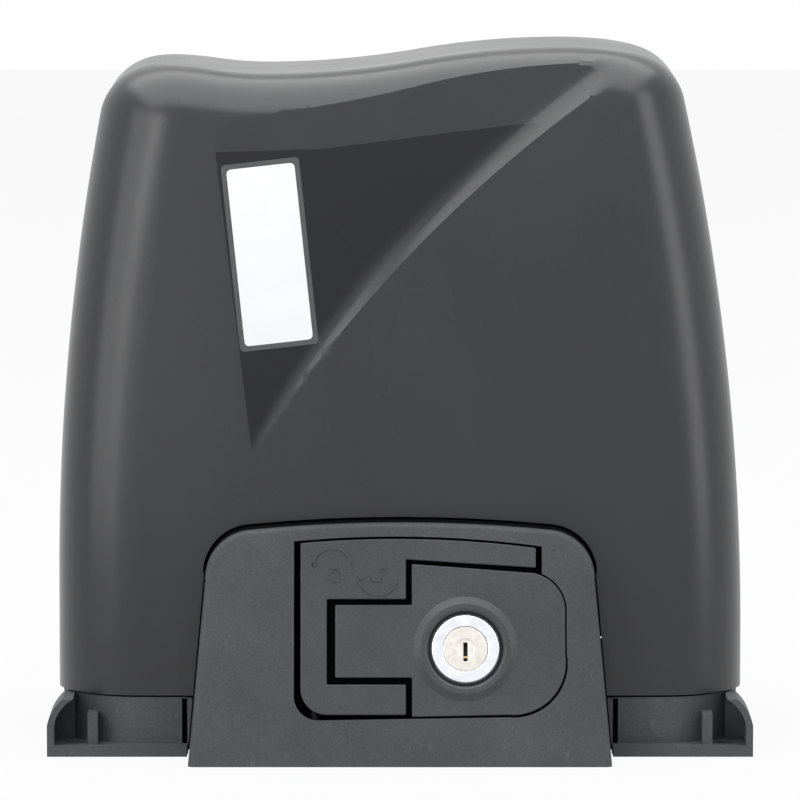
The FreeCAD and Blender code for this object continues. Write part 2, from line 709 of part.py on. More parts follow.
def release_lever():
    front = panel_prism("lever_front", lever_outline(), -S.lever_thick, 0.0)
    web = panel_prism("lever_web", web_outline(), -S.lever_thick, S.web_thick - S.lever_thick)
    reach = S.arm_reach * math.sqrt(0.5)
    thin = 3.0 * math.sqrt(0.5)
    arm_low = 52.5
    arm = prism("arm_plate", outline("arm_outline", [
        (-thin, -thin), (thin, thin), (thin - reach, reach + thin, 3.0), (-thin - reach, reach - thin),
    ], "panel_up", (S.hinge_x, arm_low, -S.hinge_deep)), 4.0)
    tip = rod("arm_tip", (S.hinge_x - reach, arm_low, -S.hinge_deep - reach), 2.5, 13.0, "panel_up")
    solid = fuse("lever_solid", front, web, arm, tip)
    bore = rod("lever_bore", (S.hinge_x, 5, -S.hinge_deep), S.hinge_radius + S.fit_gap, 90, "panel_up")
    hole = rod("lever_lock_hole", (S.lock_x, S.lock_w, -S.lever_thick - 1), S.lock_barrel + 0.3, 10, "panel")
    return keep("release_lever", cut("release_lever", solid, bore, hole))


def lock_plate():
    """Plate with a raised ring and a well for the lock's bezel."""
    plate = panel_prism("plate_block", plate_outline(), -S.plate_thick, 0.0)
    inner = S.lock_well
    ring = turned("plate_ring", "z", [
        (-1.0, inner), (-1.0, S.lock_ring), (0.0, S.lock_ring), (S.lock_ring_high, S.lock_ring - 2.6),
        (S.lock_ring_high, inner + 0.8), (S.lock_ring_high - 0.8, inner),
    ], (S.lock_x, S.lock_w, 0), "panel")
    well = rod("plate_well", (S.lock_x, S.lock_w, -1.4), inner, 5, "panel")
    hole = rod("plate_hole", (S.lock_x, S.lock_w, -S.plate_thick - 1), S.lock_barrel + 0.3, 9, "panel")
    solid = cut("lock_plate", fuse("plate_solid", plate, ring), well, hole)
    return keep("lock_plate", solid)


def hinge_pin():
    pin = rod("lever_hinge_pin", (S.hinge_x, S.hinge_low, -S.hinge_deep), S.hinge_radius,
              S.hinge_high - S.hinge_low - 0.2, "panel_up")
    return keep("lever_hinge_pin", pin)


def lock_parts():
    """Cylinder lock: bezel and barrel, nut behind the web, turning plug and its cam."""
    at = (S.lock_x, S.lock_w, 0)
    face = 1.0
    barrel = turned("lock_body", "z", [
        (-S.lock_deep, S.lock_plug + S.fit_gap), (-S.lock_deep, S.lock_barrel), (-1.4, S.lock_barrel),
        (-1.4, S.lock_bezel), (face - 0.8, S.lock_bezel), (face, S.lock_bezel - 0.8),
        (face, S.lock_plug + S.fit_gap),
    ], at, "panel")
    keep("lock_body", barrel)
    nut_low = -S.lever_thick - 3.5
    ring = turned("nut_ring", "z", sleeve(nut_low, -S.lever_thick, S.lock_barrel, as_size(12.5)), at, "panel")
    flats = [
        box("nut_flat", (S.lock_x + side * 11 if side > 0 else S.lock_x - 15, S.lock_w - 15, nut_low - 1),
            (S.lock_x + 15 if side > 0 else S.lock_x - 11, S.lock_w + 15, 1 - S.lever_thick), "panel")
        for side in (-1, 1)
    ]
    keep("lock_nut", cut("lock_nut", ring, *flats))
    tail = -S.lock_deep - 0.2 - S.lock_cam_thick
    plug = turned("plug_round", "z", [
        (tail - 2, 0), (tail - 2, 2.5), (-S.lock_deep - 0.2, 2.5), (-S.lock_deep - 0.2, S.lock_plug - 1),
        (-S.lock_deep, S.lock_plug), (face - 0.4, S.lock_plug), (face - 0.2, S.lock_plug - 0.2), (face - 0.2, 0),
    ], at, "panel")
    slot = box("key_slot", (S.lock_x - 0.75, S.lock_w - 4.4, -9), (S.lock_x + 0.75, S.lock_w + 2.2, 3), "panel")
    cup = rod("key_cup", (S.lock_x, S.lock_w + 0.4, face - 0.8), 3.2, 3, "panel")
    keep("lock_plug", cut("lock_plug", plug, slot, cup))
    reach = S.lock_cam_reach
    half = S.lock_cam_wide / 2
    low = tail
    strip = box("cam_strip", (S.lock_x - reach, S.lock_w - half, low), (S.lock_x, S.lock_w + half, low + S.lock_cam_thick),
                "panel")
    eye = rod("cam_eye", (S.lock_x, S.lock_w, low), 6.0, S.lock_cam_thick, "panel")
    bore = rod("cam_bore", (S.lock_x, S.lock_w, low - 1), 2.52, 5, "panel")
    keep("lock_cam", cut("lock_cam", fuse("cam_solid", strip, eye), bore))


def release_slider():
    """Bar with a fork for the lever's arm and a ramp that pushes the release pin."""
    left = S.hinge_x - S.arm_reach * math.sqrt(0.5) - 5.93
    slot_left = left + 3.03
    slot_right = left + 8.83
    slope = S.pin_travel / S.slide_travel
    bar_front = -75.2
    ramp_y = -67.0
    points = [
        (left, S.fork_front), (slot_left, S.fork_front), (slot_left, bar_front + 0.3), (slot_right, bar_front + 0.3),
        (slot_right, S.fork_front), (left + 11.8, S.fork_front), (left + 11.8, bar_front), (4.0, bar_front),
        (4.0, ramp_y - slope * 4), (-18.0, ramp_y + slope * 18), (left, ramp_y + slope * 18),
    ]
    bar = prism("release_slider", outline("slider_outline", points, "world", (0, 0, S.slide_z - 3)), 6.0)
    return keep("release_slider", bar)


def release_pin():
    """Push pin with a round nose on the slider's ramp."""
    pin = turned("release_pin", "y", [
        (-66.5, 0), (-46.3, 0), (-46.3, 4.0), (-62.5, 4.0), (-63.5, 3.0, 3.0),
    ], (0, 0, S.out_z))
    return keep("release_pin", pin)


# --------------------------------------------------------------------- cover

def side_reach(half, radius, start, height):
    """How far out the side is at a height, once it has started to lean."""
    rise = height - start
    return half - radius + root(radius * radius - rise * rise)


def cover_sides(inset):
    """Outline of the cover seen from the front, without its top."""
    half = S.cover_width / 2 - inset
    left = S.side_left_radius - inset
    right = S.side_right_radius - inset
    high = as_size(300.0)
    low = S.cover_foot if inset.number == 0 else S.cover_foot - 5
    return [
        (-half, low), (half, low), (half, S.side_right_start, right),
        (side_reach(half, right, S.side_right_start, high), high),
        (-side_reach(half, left, S.side_left_start, high), high, left), (-half, S.side_left_start),
    ]


def cover_wave(inset):
    """Region under the wavy top edge; each swell and dip is an arc that meets the next smoothly."""
    left = (CREST_LEFT, S.wave_left_z - inset)
    dip = (DIP, S.wave_dip_z - inset)
    right = (CREST_RIGHT, S.wave_right_z - inset)

    def middle(first, second):
        return ((first[0] + second[0]) / 2, (first[1] + second[1]) / 2)

    def bend(low, high):
        across = high[0] - low[0]
        rise = high[1] - low[1]
        return (across * across + rise * rise) / (rise * 4)

    down = bend(dip, left)
    up = bend(dip, right)
    edge = S.cover_width / 2 + 4 - inset
    left_run = edge + left[0]
    right_run = edge - right[0]
    left_drop = down - root(down * down - left_run * left_run)
    right_drop = S.wave_end_radius - root(S.wave_end_radius * S.wave_end_radius - right_run * right_run)
    return [
        (-edge, -20), (edge, -20), (edge, right[1] - right_drop, S.wave_end_radius),
        right + (up,), middle(dip, right) + (-up,), dip + (-down,), middle(left, dip) + (down,),
        left + (down,), (-edge, left[1] - left_drop),
    ]


def barrel(name, inset, side, turn=None):
    """Body bounded by the bulging front (side -1) or back (side 1) of the cover."""
    half = as_size(150.0)
    bow = S.face_bow
    plan = (half * half + bow * bow) / (bow * 2)
    face = S.cover_depth / 2 - inset
    reach = S.face_radius - inset
    drawing = outline(name + "_plan", [(-half, -reach), (half, -reach), (half, -bow, plan), (-half, -bow)])
    spun = doc.addObject("Part::Revolution", name)
    spun.Source = drawing
    spun.Axis = Vector(1, 0, 0)
    spun.Base = Vector(0, -reach.number, 0)
    bind(spun, "Base.y", -reach)
    spun.Angle = 80.0
    spun.Solid = True
    spun.Symmetric = True
    if side > 0:
        return put(spun, (0, face, S.face_start))
    turn = as_size(turn or 0.0)
    pivot = S.swoosh_pivot_in - COVER_HALF
    at = (pivot - pivot * cosine(turn), -face - pivot * sine(turn), S.face_start)
    spun.Placement = Placement(Vector(*(part.number for part in at)), Rotation(Vector(0, 0, 1), 180 + turn.number))
    for axis, part in zip("xyz", at):
        bind(spun, "Placement.Base." + axis, part)
    bind(spun, "Placement.Rotation.Angle", turn + 180)
    return spun


def cover_form(name, inset):
    """The rounded body of the cover, moved in by the inset."""
    raw = common(
        name + "_raw", front_prism(name + "_sides", cover_sides(inset), -100, 100),
        front_prism(name + "_wave", cover_wave(inset), -100, 100),
        barrel(name + "_front", inset, -1), barrel(name + "_back", inset, 1))

    half_width = S.cover_width.number / 2
    half_depth = S.cover_depth.number / 2

    def upright(edge, middle):
        span = edge.BoundBox
        tall = span.ZMax - span.ZMin > 15 and span.XMax - span.XMin < 25
        far_out = abs(middle.x) > half_width * 0.7 and abs(middle.y) > half_depth * 0.6
        return tall and far_out

    sided = rounded(name + "_upright", raw, S.cover_corner - inset, upright)

    def brow(edge, middle):
        if edge.BoundBox.ZMin < S.wave_dip_z.number - 11.5:
            return False
        levels = []
        for face in sided.Shape.ancestorsOfType(edge, Part.Face):
            where = face.Surface.parameter(middle)
            levels.append(abs(face.normalAt(*where).z) > 0.9)
        return len(levels) == 2 and levels[0] != levels[1]

    return rounded(name + "_rounded", sided, S.cover_brow - inset, brow)


def swoosh_prism(name, grow=None):
    """Slanting prism over the sunken field of the cover's front."""
    drawing = outline(name + "_outline", [
        (SWOOSH_TIP, S.swoosh_tip_z, -S.swoosh_radius), (SWOOSH_END, S.swoosh_end_z),
        (SWOOSH_END + 12, 262.0), (SWOOSH_TIP - 9.7, 262.0), (SWOOSH_TIP - 1.8, 210.0),
    ], "front", (0, -65.0, 0))
    if grow is not None:
        drawing = widened(name + "_wide", drawing, grow)
    item = doc.addObject("Part::Extrusion", name)
    item.Base = drawing
    item.DirMode = "Custom"
    item.Dir = Vector(-0.7, 1.0, 0.71)
    item.Solid = True
    item.LengthFwd = 42.0
    item.LengthRev = 38.0
    return item


def cover():
    """Thin moulded shell with a sunken swoosh field, two cut-outs and the screw channels."""
    nothing = as_size(0.0)
    wall = S.cover_wall
    outer = cover_form("cover_outer", nothing)
    inner = cover_form("cover_inner", wall)
    outer_turned = barrel("swoosh_outer", nothing, -1, S.swoosh_turn)
    inner_turned = barrel("swoosh_inner", wall, -1, S.swoosh_turn)
    carved = cut("cover_carved", outer, cut("swoosh_cutter", swoosh_prism("swoosh_prism"), outer_turned))
    room = cut(
        "cover_room", inner,
        cut("swoosh_backing", swoosh_prism("swoosh_back_prism", wall + 0.7), inner_turned))
    shell = cut("cover_shell", carved, room)
    face = S.cover_width / 2 - S.notch_deep
    bosses = []
    cuts = [
        front_prism("cover_mouth", house_outline(), -115.0, -60.0, S.cut_gap),
        front_prism("cover_rear_mouth", rear_outline(), 55.0, 90.0, S.run_gap * 2),
    ]
    for side in (-1, 1):
        inside = (face - S.cover_wall) * side
        outside = (S.cover_width / 2 - 2.5) * side
        near, far = (inside, outside) if side > 0 else (outside, inside)
        bosses.append(box("screw_boss", (near, -S.notch_half - 2.8, S.cover_foot),
                          (far, S.notch_half + 2.8, S.notch_top + 2.8)))
        near, far = (face, face + 20) if side > 0 else (-face - 20, -face)
        cuts.append(box("screw_channel", (near, -S.notch_half, 0), (far, S.notch_half, S.notch_top)))
        near, far = (face - 10, face + 1) if side > 0 else (-face - 1, 10 - face)
        slot = S.cover_screw + 0.4
        cuts.append(box("screw_slot", (near, -slot, 0), (far, slot, S.cover_screw_z)))
        cuts.append(rod("screw_slot_end", (near, 0, S.cover_screw_z), slot, 11.0, "along_x"))
    keep("cover", cut("cover", fuse("cover_solid", shell, *bosses), *cuts))
    heads = []
    for side in (-1, 1):
        seat = face + 0.3
        profile = [
            (face - 12, 0), (seat + 2.2, 0), (seat + 2.2, S.cover_head - 0.8), (seat + 1.4, S.cover_head),
            (seat, S.cover_head), (seat, S.cover_screw), (face - 12, S.cover_screw),
        ]
        if side < 0:
            profile = mirrored(profile)
        heads.append(turned("cover_screw", "x", profile, (0, 0, S.cover_screw_z)))
    keep("cover_screws", group("cover_screws", *heads))


def rear_outline():
    """Outline of the rear plate: square foot, round top corners."""
    half = S.rear_half
    top = S.rear_top
    low = S.cover_foot
    return [(-half, low), (half, low), (half, top - S.rear_corner, S.rear_corner), (half - S.rear_corner, top),
            (S.rear_corner - half, top, S.rear_corner), (-half, top - S.rear_corner)]


# --------------------------------------------------------------------- gears

def involute_outline(pitch_radius, teeth, tip, base_of_tooth, phase, steps=5):
    """Points of a whole 20-degree involute gear, anticlockwise from the phase angle."""
    pressure = math.radians(20.0)
    base = pitch_radius * math.cos(pressure)

    def half_angle(radius):
        if radius <= base:
            return math.pi / (2 * teeth) + math.tan(pressure) - pressure
        slope = math.acos(base / radius)
        return math.pi / (2 * teeth) + math.tan(pressure) - pressure - (math.tan(slope) - slope)

    start = max(base, base_of_tooth)
    radii = [base_of_tooth] if base_of_tooth < base else []
    radii += [start + (tip - start) * step / steps for step in range(steps + 1)]
    points = []
    for tooth in range(int(teeth)):
        middle = phase + 2 * math.pi * tooth / teeth
        for radius in radii:
            points.append((radius, middle - half_angle(radius)))
        for radius in reversed(radii):
            points.append((radius, middle + half_angle(radius)))
    return points


def gear_solid(points, low, high, twist):
    """Loft a polar outline about Y between two places, turned by the twist on the way."""
    wires = []
    for y, turn in ((low, -twist / 2), (high, twist / 2)):
        ring = [
            Vector(radius * math.sin(angle + turn), y, radius * math.cos(angle + turn)) for radius, angle in points
        ]
        wires.append(Part.makePolygon(ring + ring[:1]))
    return Part.makeLoft(wires, True, True)


def gear_feature(name, solid):
    item = doc.addObject("Part::Feature", name)
    item.Shape = solid
    return put(item, (0, 0, S.out_z))


def worm_centre():
    return S.out_z + S.worm_module * S.wheel_teeth / 2 + S.worm_pitch_r


def worm_wheel():
    module = S.worm_module.number
    teeth = S.wheel_teeth.number
    pitch_radius = module * teeth / 2
    half = S.wheel_width.number / 2
    middle = S.gear_y.number
    twist = S.wheel_width.number * module / (2 * S.worm_pitch_r.number) / pitch_radius
    points = involute_outline(
        pitch_radius, teeth, pitch_radius + module, pitch_radius - 1.2 * module, math.pi / teeth)
    ring = gear_feature("wheel_teeth", gear_solid(points, middle - half, middle + half, twist))
    face = S.gear_y + S.wheel_width / 2
    hub = turned("wheel_hub", "y", [
        (S.gear_y - 6, S.shaft_wheel_r + 4), (face - 1, S.shaft_wheel_r + 4), (face - 1, 20.0), (S.gear_y - 6, 20.0),
    ], (0, 0, S.out_z))
    dogs = [dog("wheel_dog", index * 90.0, face - 0.5, face + 4) for index in range(4)]
    recess = turned("wheel_recess", "y", [
        (S.gear_y - 11, 16.0), (S.gear_y - 6, 16.0), (S.gear_y - 6, 22.0), (S.gear_y - 11, 22.0),
    ], (0, 0, S.out_z))
    bore = rod("wheel_bore", (0, S.gear_y - 20, S.out_z), S.shaft_wheel_r + S.fit_gap, 50, "along_y")
    keep("worm_wheel", cut("worm_wheel", fuse("wheel_solid", ring, hub, *dogs), recess, bore))


def dog(name, start, low, high):
    """Forty-degree clutch tooth about the output axis."""
    inner = S.shaft_wheel_r + 3
    outer = as_size(19.0)
    drawing = outline(name + "_outline", [
        (inner, 0), (outer, 0, outer), (outer * cosine(as_size(40.0)), outer * sine(as_size(40.0))),
        (inner * cosine(as_size(40.0)), inner * sine(as_size(40.0)), -inner),
    ])
    item = prism(name, drawing, as_size(high) - low)
    low = as_size(low)
    drawing.Placement = Placement(
        Vector(0, low.number, S.out_z.number),
        Rotation(Vector(0, 1, 0), start) * Rotation(Vector(1, 0, 0), -90))
    bind(drawing, "Placement.Base.y", low)
    bind(drawing, "Placement.Base.z", S.out_z)
    return item


def worm_shaft():
    """Motor shaft with the worm's thread swept along a helix."""
    pitch = math.pi * S.worm_module.number
    radius = S.worm_pitch_r.number
    crown = S.worm_module.number
    half = pitch / 4 - S.mesh_slack.number
    lean = math.tan(math.radians(20.0))
    low = radius - crown * 1.2 - 0.3
    span = 44.0
    turns = int(span / pitch) + 2
    begin = -turns * pitch / 2
    helix = Part.makeHelix(pitch, turns * pitch, radius)
    corners = [
        (low, half + (radius - low) * lean), (radius + crown, half - crown * lean),
        (radius + crown, crown * lean - half), (low, -half - (radius - low) * lean),
    ]
    profile = Part.makePolygon([Vector(out, 0, along) for out, along in corners + corners[:1]])
    sweep = Part.Wire(helix).makePipeShell([profile], True, True)
    thread = doc.addObject("Part::Feature", "worm_thread_long")
    thread.Shape = sweep
    # the crest faces the wheel at the middle of the worm
    phase = 180.0 * (turns % 2)
    thread.Placement = Placement(
        Vector(begin, S.gear_y.number, worm_centre().number),
        Rotation(Vector(1, 0, 0), phase) * Rotation(Vector(0, 1, 0), 90))
    trim = rod("worm_trim", (-span / 2, S.gear_y, worm_centre()), S.worm_pitch_r + S.worm_module, span, "along_x")
    core = turned("worm_core", "x", [
        (-37.7, 0), (91.5, 0), (91.5, S.motor_shaft_r - 0.8), (90.7, S.motor_shaft_r), (40.0, S.motor_shaft_r),
        (24.6, S.motor_shaft_r), (24.6, 9.0), (22.0, S.worm_pitch_r - 2.4), (-22.0, S.worm_pitch_r - 2.4),
        (-24.6, 9.0), (-26.2, 9.0), (-26.2, S.motor_shaft_r), (-37.7, S.motor_shaft_r),
    ], (0, S.gear_y, worm_centre()))
    keep("worm_shaft", fuse("worm_shaft", core, common("worm_thread", thread, trim)))


def output_shaft():
    axis = (0, 0, S.out_z)
    raw = turned("shaft_round", "y", [
        (-40.0, 0), (107.5, 0), (107.5, S.shaft_pinion_r - 1), (106.5, S.shaft_pinion_r), (63.0, S.shaft_pinion_r),
        (61.5, S.shaft_rear_r), (33.0, S.shaft_rear_r), (33.0, S.shaft_wheel_r), (-18.3, S.shaft_wheel_r),
        (-18.3, 14.0), (-25.7, 14.0), (-25.7, S.shaft_front_r), (-40.0, S.shaft_front_r),
    ], axis)
    slot_low = S.pin_y - 2.0 - S.run_gap
    cuts = [
        rod("shaft_bore", (0, -41, S.out_z), S.rod_r, 62.0, "along_y"),
        box("shaft_slot", (-15, slot_low, S.out_z - 2.1), (15, S.pin_y + 2 + S.pin_travel + S.run_gap, S.out_z + 2.1)),
        box("shaft_keyway", (-3, 86, S.out_z + 6), (3, 106, S.out_z + 13)),
        rod("shaft_end_hole", (0, 90, S.out_z), 3.0, 20, "along_y"),
    ]
    keep("output_shaft", cut("output_shaft", raw, *cuts))
    keep("pinion_key", box("pinion_key", (-3, 86, S.out_z + 6), (3, 106, S.out_z + 12.8)))
    washer = turned("retainer_washer", "y", sleeve(S.pinion_y + S.pinion_width, 110.5, 3.05, 15.0), axis)
    screw = turned("retainer_screw", "y", [
        (92.0, 0), (114.5, 0), (114.5, 5.5), (110.5, 5.5), (110.5, 3.0), (92.0, 3.0),
    ], axis)
    keep("pinion_retainer", group("pinion_retainer", washer, screw))
    module = S.pinion_module.number
    teeth = S.pinion_teeth.number
    pitch_radius = module * teeth / 2
    points = involute_outline(pitch_radius, teeth, pitch_radius + module, pitch_radius - 1.25 * module, 0.0)
    low = S.pinion_y.number
    teeth_ring = gear_feature("pinion_teeth", gear_solid(points, low, low + S.pinion_width.number, 0.0))
    hub = turned("pinion_hub", "y", sleeve(S.pinion_y - 4, S.pinion_y + 1, as_size(8.0), as_size(17.0)), axis)
    keep("pinion", cut(
        "pinion", fuse("pinion_solid", teeth_ring, hub),
        rod("pinion_bore", (0, 70, S.out_z), S.shaft_pinion_r + 0.02, 50, "along_y"),
        box("pinion_keyway", (-3, 70, S.out_z), (3, 120, S.out_z + 12.8))))


def clutch():
    """Rod in the shaft's bore, cross pin and dog sleeve: they slide back together."""
    axis = (0, 0, S.out_z)
    raw = turned("rod_round", "y", [
        (-46.0, 0), (S.pin_y + 3, 0), (S.pin_y + 3, S.rod_r - S.fit_gap), (-45.0, S.rod_r - S.fit_gap),
        (-46.0, S.rod_r - 1),
    ], axis)
    pin = rod("clutch_cross_pin", (-15, S.pin_y, S.out_z), 2.0, 30.0, "along_x")
    keep("clutch_cross_pin", pin)
    keep("clutch_rod", cut("clutch_rod", raw, rod("rod_hole", (-15, S.pin_y, S.out_z), 2.0, 30.0, "along_x")))
    face = S.gear_y + S.wheel_width / 2 + 4.3
    ring = turned("sleeve_ring", "y", sleeve(face, face + 11.7, S.shaft_wheel_r + S.fit_gap, as_size(19.0)), axis)
    dogs = [dog("sleeve_dog", 45.0 + index * 90.0, face - 4, face + 0.5) for index in range(4)]
    hole = rod("sleeve_hole", (-20, S.pin_y, S.out_z), 2.0, 40.0, "along_x")
    keep("clutch_sleeve", cut("clutch_sleeve", fuse("sleeve_solid", ring, *dogs), hole))
    spring_low = face + 12.0
    spring = doc.addObject("Part::Feature", "clutch_spring")
    height = 32.4 - spring_low.number
    wire = Part.makeHelix(height / 4.2, height - 1.6, 14.0)
    circle = Part.Wire(Part.makeCircle(0.8, Vector(14, 0, 0), Vector(0, 1, 0)))
    spring.Shape = Part.Wire(wire).makePipeShell([circle], True, True)
    keep("clutch_spring", put(spring, (0, spring_low + 0.8, S.out_z), "along_y"))


# ------------------------------------------------------------------- gearbox

def gearbox():
    """Cast housing: drum for the wheel, tunnel for the worm, motor flange, feet and rear face."""
    centre = worm_centre()
    out_z = S.out_z
    front = S.box_front
    rear = S.box_rear
    wall = S.box_wall
    drum = rod("drum", (0, front, out_z), DRUM, rear - front, "along_y")
    tunnel = rod("tunnel", (-42, S.gear_y, centre), S.box_tunnel_r, 80, "along_x")
    face = DRUM + S.run_gap
    flange = rod("motor_flange", (face, S.gear_y, centre), 50, S.stator_start - face, "along_x")
    solids = [
        tunnel, flange,
        box("neck", (-30, S.gear_y - 18.5, 80), (30, S.gear_y + 18.5, 100)),
        box("foot_plate_box", (-58, -30, S.foot_boss), (58, 50, S.foot_boss + 8)),
        box("foot_web", (-30, -26, S.foot_boss), (30, 46, 40)),
        box("rear_wall", (-46, rear - 6, 22), (46, rear, 100)),
        box("flange_rib", (28, S.gear_y - 2.5, 50), (38, S.gear_y + 2.5, 90)),
    ]
    solids += [box("foot_rib", (side * 42 - 2.5, -26, S.foot_boss + 2), (side * 42 + 2.5, 46, 30)) for side in (-1, 1)]
    solids += [box("foot_rib_cross", (-52, y - 2.5, S.foot_boss + 2), (52, y + 2.5, 34)) for y in (8, 28)]
    solid = fuse("box_solid", drum, *solids)
    bearing = as_size(26.02)
    cuts = [
        rod("drum_room", (0, front - 1, out_z), DRUM_ROOM, 71, "along_y"),
        rod("rear_bearing_seat", (0, 31, out_z), bearing, 18, "along_y"),
        rod("rear_bore", (0, 40, out_z), 15.0, 30, "along_y"),
        rod("seal_seat", (0, 50, out_z), 20.02, 20, "along_y"),
        rod("tunnel_room", (-38, S.gear_y, centre), 14.52, 90, "along_x"),
        rod("flange_room", (39.5, S.gear_y, centre), 41.0, 20, "along_x"),
    ]
    cuts += [rod("foot_hole", (x, y, 5), 2.6, 20) for x, y in FEET]
    cuts += [rod("cover_hole", (x, front - 1, z), 1.6, 13, "along_y") for x, z in cover_screw_places()]
    cuts += [rod("plate_hole", (x, rear - 10, z), 2.5, 20, "along_y") for x, z in REAR_SCREWS]
    cuts += [rod("tie_hole", (30, y, z), 2.55, 30, "along_x") for y, z in tie_places()]
    keep("gearbox_housing", cut("gearbox_housing", solid, *cuts))
    axis = (0, 0, out_z)
    lid = turned("lid_round", "y", [
        (-57.0, 4.05), (front - 3, 4.05), (front - 3, 10.0), (front, 10.0), (front, 20.02), (-26.0, 20.02),
        (-26.0, 24.0), (front, 24.0), (front, DRUM), (front - 6, DRUM), (front - 6, 16.0),
        (front - 10, 8.0), (-57.0, 8.0),
    ], axis)
    keep("gearbox_cover", cut("gearbox_cover", lid, *[
        rod("lid_hole", (x, front - 10, z), 1.6, 20, "along_y") for x, z in cover_screw_places()]))
    screws = [
        turned("cover_bolt", "y", [
            (front - 8.5, 0), (front + 11, 0), (front + 11, 1.6), (front - 6, 1.6), (front - 6, 3.0),
            (front - 8.5, 3.0),
        ], (x, 0, z)) for x, z in cover_screw_places()
    ]
    keep("gearbox_cover_screws", group("gearbox_cover_screws", *screws))
    top = S.foot_boss + 8
    bolts = [
        turned("foot_bolt", "z", [
            (5.0, 0), (5.0, 2.6), (top, 2.6), (top, 5.0), (top + 5, 5.0), (top + 5, 0),
        ], (x, y, 0)) for x, y in FEET
    ]
    keep("gearbox_mount_bolts", group("gearbox_mount_bolts", *bolts))
    keep("output_bearings", group(
        "output_bearings",
        bearing_ring("front_bearing", "y", -37.9, -26.1, S.shaft_front_r, 20.0, axis),
        bearing_ring("rear_bearing", "y", 34.0, 49.0, S.shaft_rear_r, 26.0, axis)))
    seal = turned("shaft_seal", "y", [
        (50.3, S.shaft_rear_r + S.fit_gap), (52.0, S.shaft_rear_r + S.fit_gap), (54.0, 15.0), (57.0, 15.0),
        (57.0, 20.0), (50.3, 20.0),
    ], axis)
    keep("shaft_seal", seal)
    worm_axis = (0, S.gear_y, centre)
    keep("worm_bearings", group(
        "worm_bearings",
        bearing_ring("worm_bearing", "x", -37.9, -26.5, S.motor_shaft_r, 14.5, worm_axis),
        bearing_ring("worm_bearing", "x", 25.0, 36.0, S.motor_shaft_r, 14.5, worm_axis),
        bearing_ring("worm_bearing", "x", 84.3, 93.0, S.motor_shaft_r, 14.5, worm_axis)))


REAR_SCREWS = [(x, z) for x in (-40.0, 40.0) for z in (30.0, 94.0)]


def cover_screw_places():
    """Six screws round the gearbox cover."""
    radius = DRUM - 3
    places = []
    for index in range(6):
        angle = as_size(30.0 + 60.0 * index)
        places.append((radius * cosine(angle), S.out_z + radius * sine(angle)))
    return places


def tie_places():
    """Four motor tie bolts, at the corners of a square about the motor axis."""
    reach = (S.motor_r - 3) * math.sqrt(0.5)
    return [(S.gear_y + reach * y, worm_centre() + reach * z) for y in (-1, 1) for z in (-1, 1)]


def bearing_ring(name, axis, low, high, bore, outer, at):
    """Sealed ball bearing as one ring, with its shields set back."""
    bore = as_size(bore) + S.fit_gap
    outer = as_size(outer)
    thick = (outer - bore) * 0.22
    return turned(name, axis, [
        (low, bore), (high, bore), (high, bore + thick), (high - 0.8, bore + thick), (high - 0.8, outer - thick),
        (high, outer - thick), (high, outer), (low, outer), (low, outer - thick), (low + 0.8, outer - thick),
        (low + 0.8, bore + thick), (low, bore + thick),
    ], at)


# --------------------------------------------------------------------- motor

def motor():
    axis = (0, S.gear_y, worm_centre())
    start = S.stator_start
    stop = start + S.stator_long
    ring = turned("stator_round", "x", sleeve(start, stop, S.rotor_r + S.run_gap, S.motor_r), axis)
    holes = [rod("stator_hole", (40, y, z), 2.55, 60, "along_x") for y, z in tie_places()]
    keep("stator_core", cut("stator_core", ring, *holes))
    coils = [
        turned("winding", "x", [
            (low, 27.0), (high, 27.0), (high, 38.0), (low, 38.0),
        ], axis) for low, high in ((start - 7.5, start), (stop, stop + 7.5))
    ]
    keep("stator_windings", group("stator_windings", *coils))
    keep("rotor_core", turned("rotor_core", "x", sleeve(start + 1, stop - 1, S.motor_shaft_r, S.rotor_r), axis))
    end = S.motor_end
    cap = turned("cap_round", "x", [
        (stop, 41.0), (end - 5, 41.0), (end - 5, 18.5), (stop + 0.3, 18.5), (stop + 0.3, 14.52), (stop + 9, 14.52),
        (stop + 9, 0), (end, 0), (end, S.motor_r - 4), (end - 2, S.motor_r), (stop, S.motor_r),
    ], axis)
    keep("motor_end_cap", cut("motor_end_cap", cap, *[
        rod("cap_hole", (60, y, z), 2.55, 60, "along_x") for y, z in tie_places()]))
    bolts = [
        turned("tie_bolt", "x", [(37.0, 0), (end + 3, 0), (end + 3, 4.0), (end, 4.0), (end, 2.5), (37.0, 2.5)],
               (0, y, z)) for y, z in tie_places()
    ]
    keep("motor_tie_bolts", group("motor_tie_bolts", *bolts))


# ---------------------------------------------------------------- rear plate

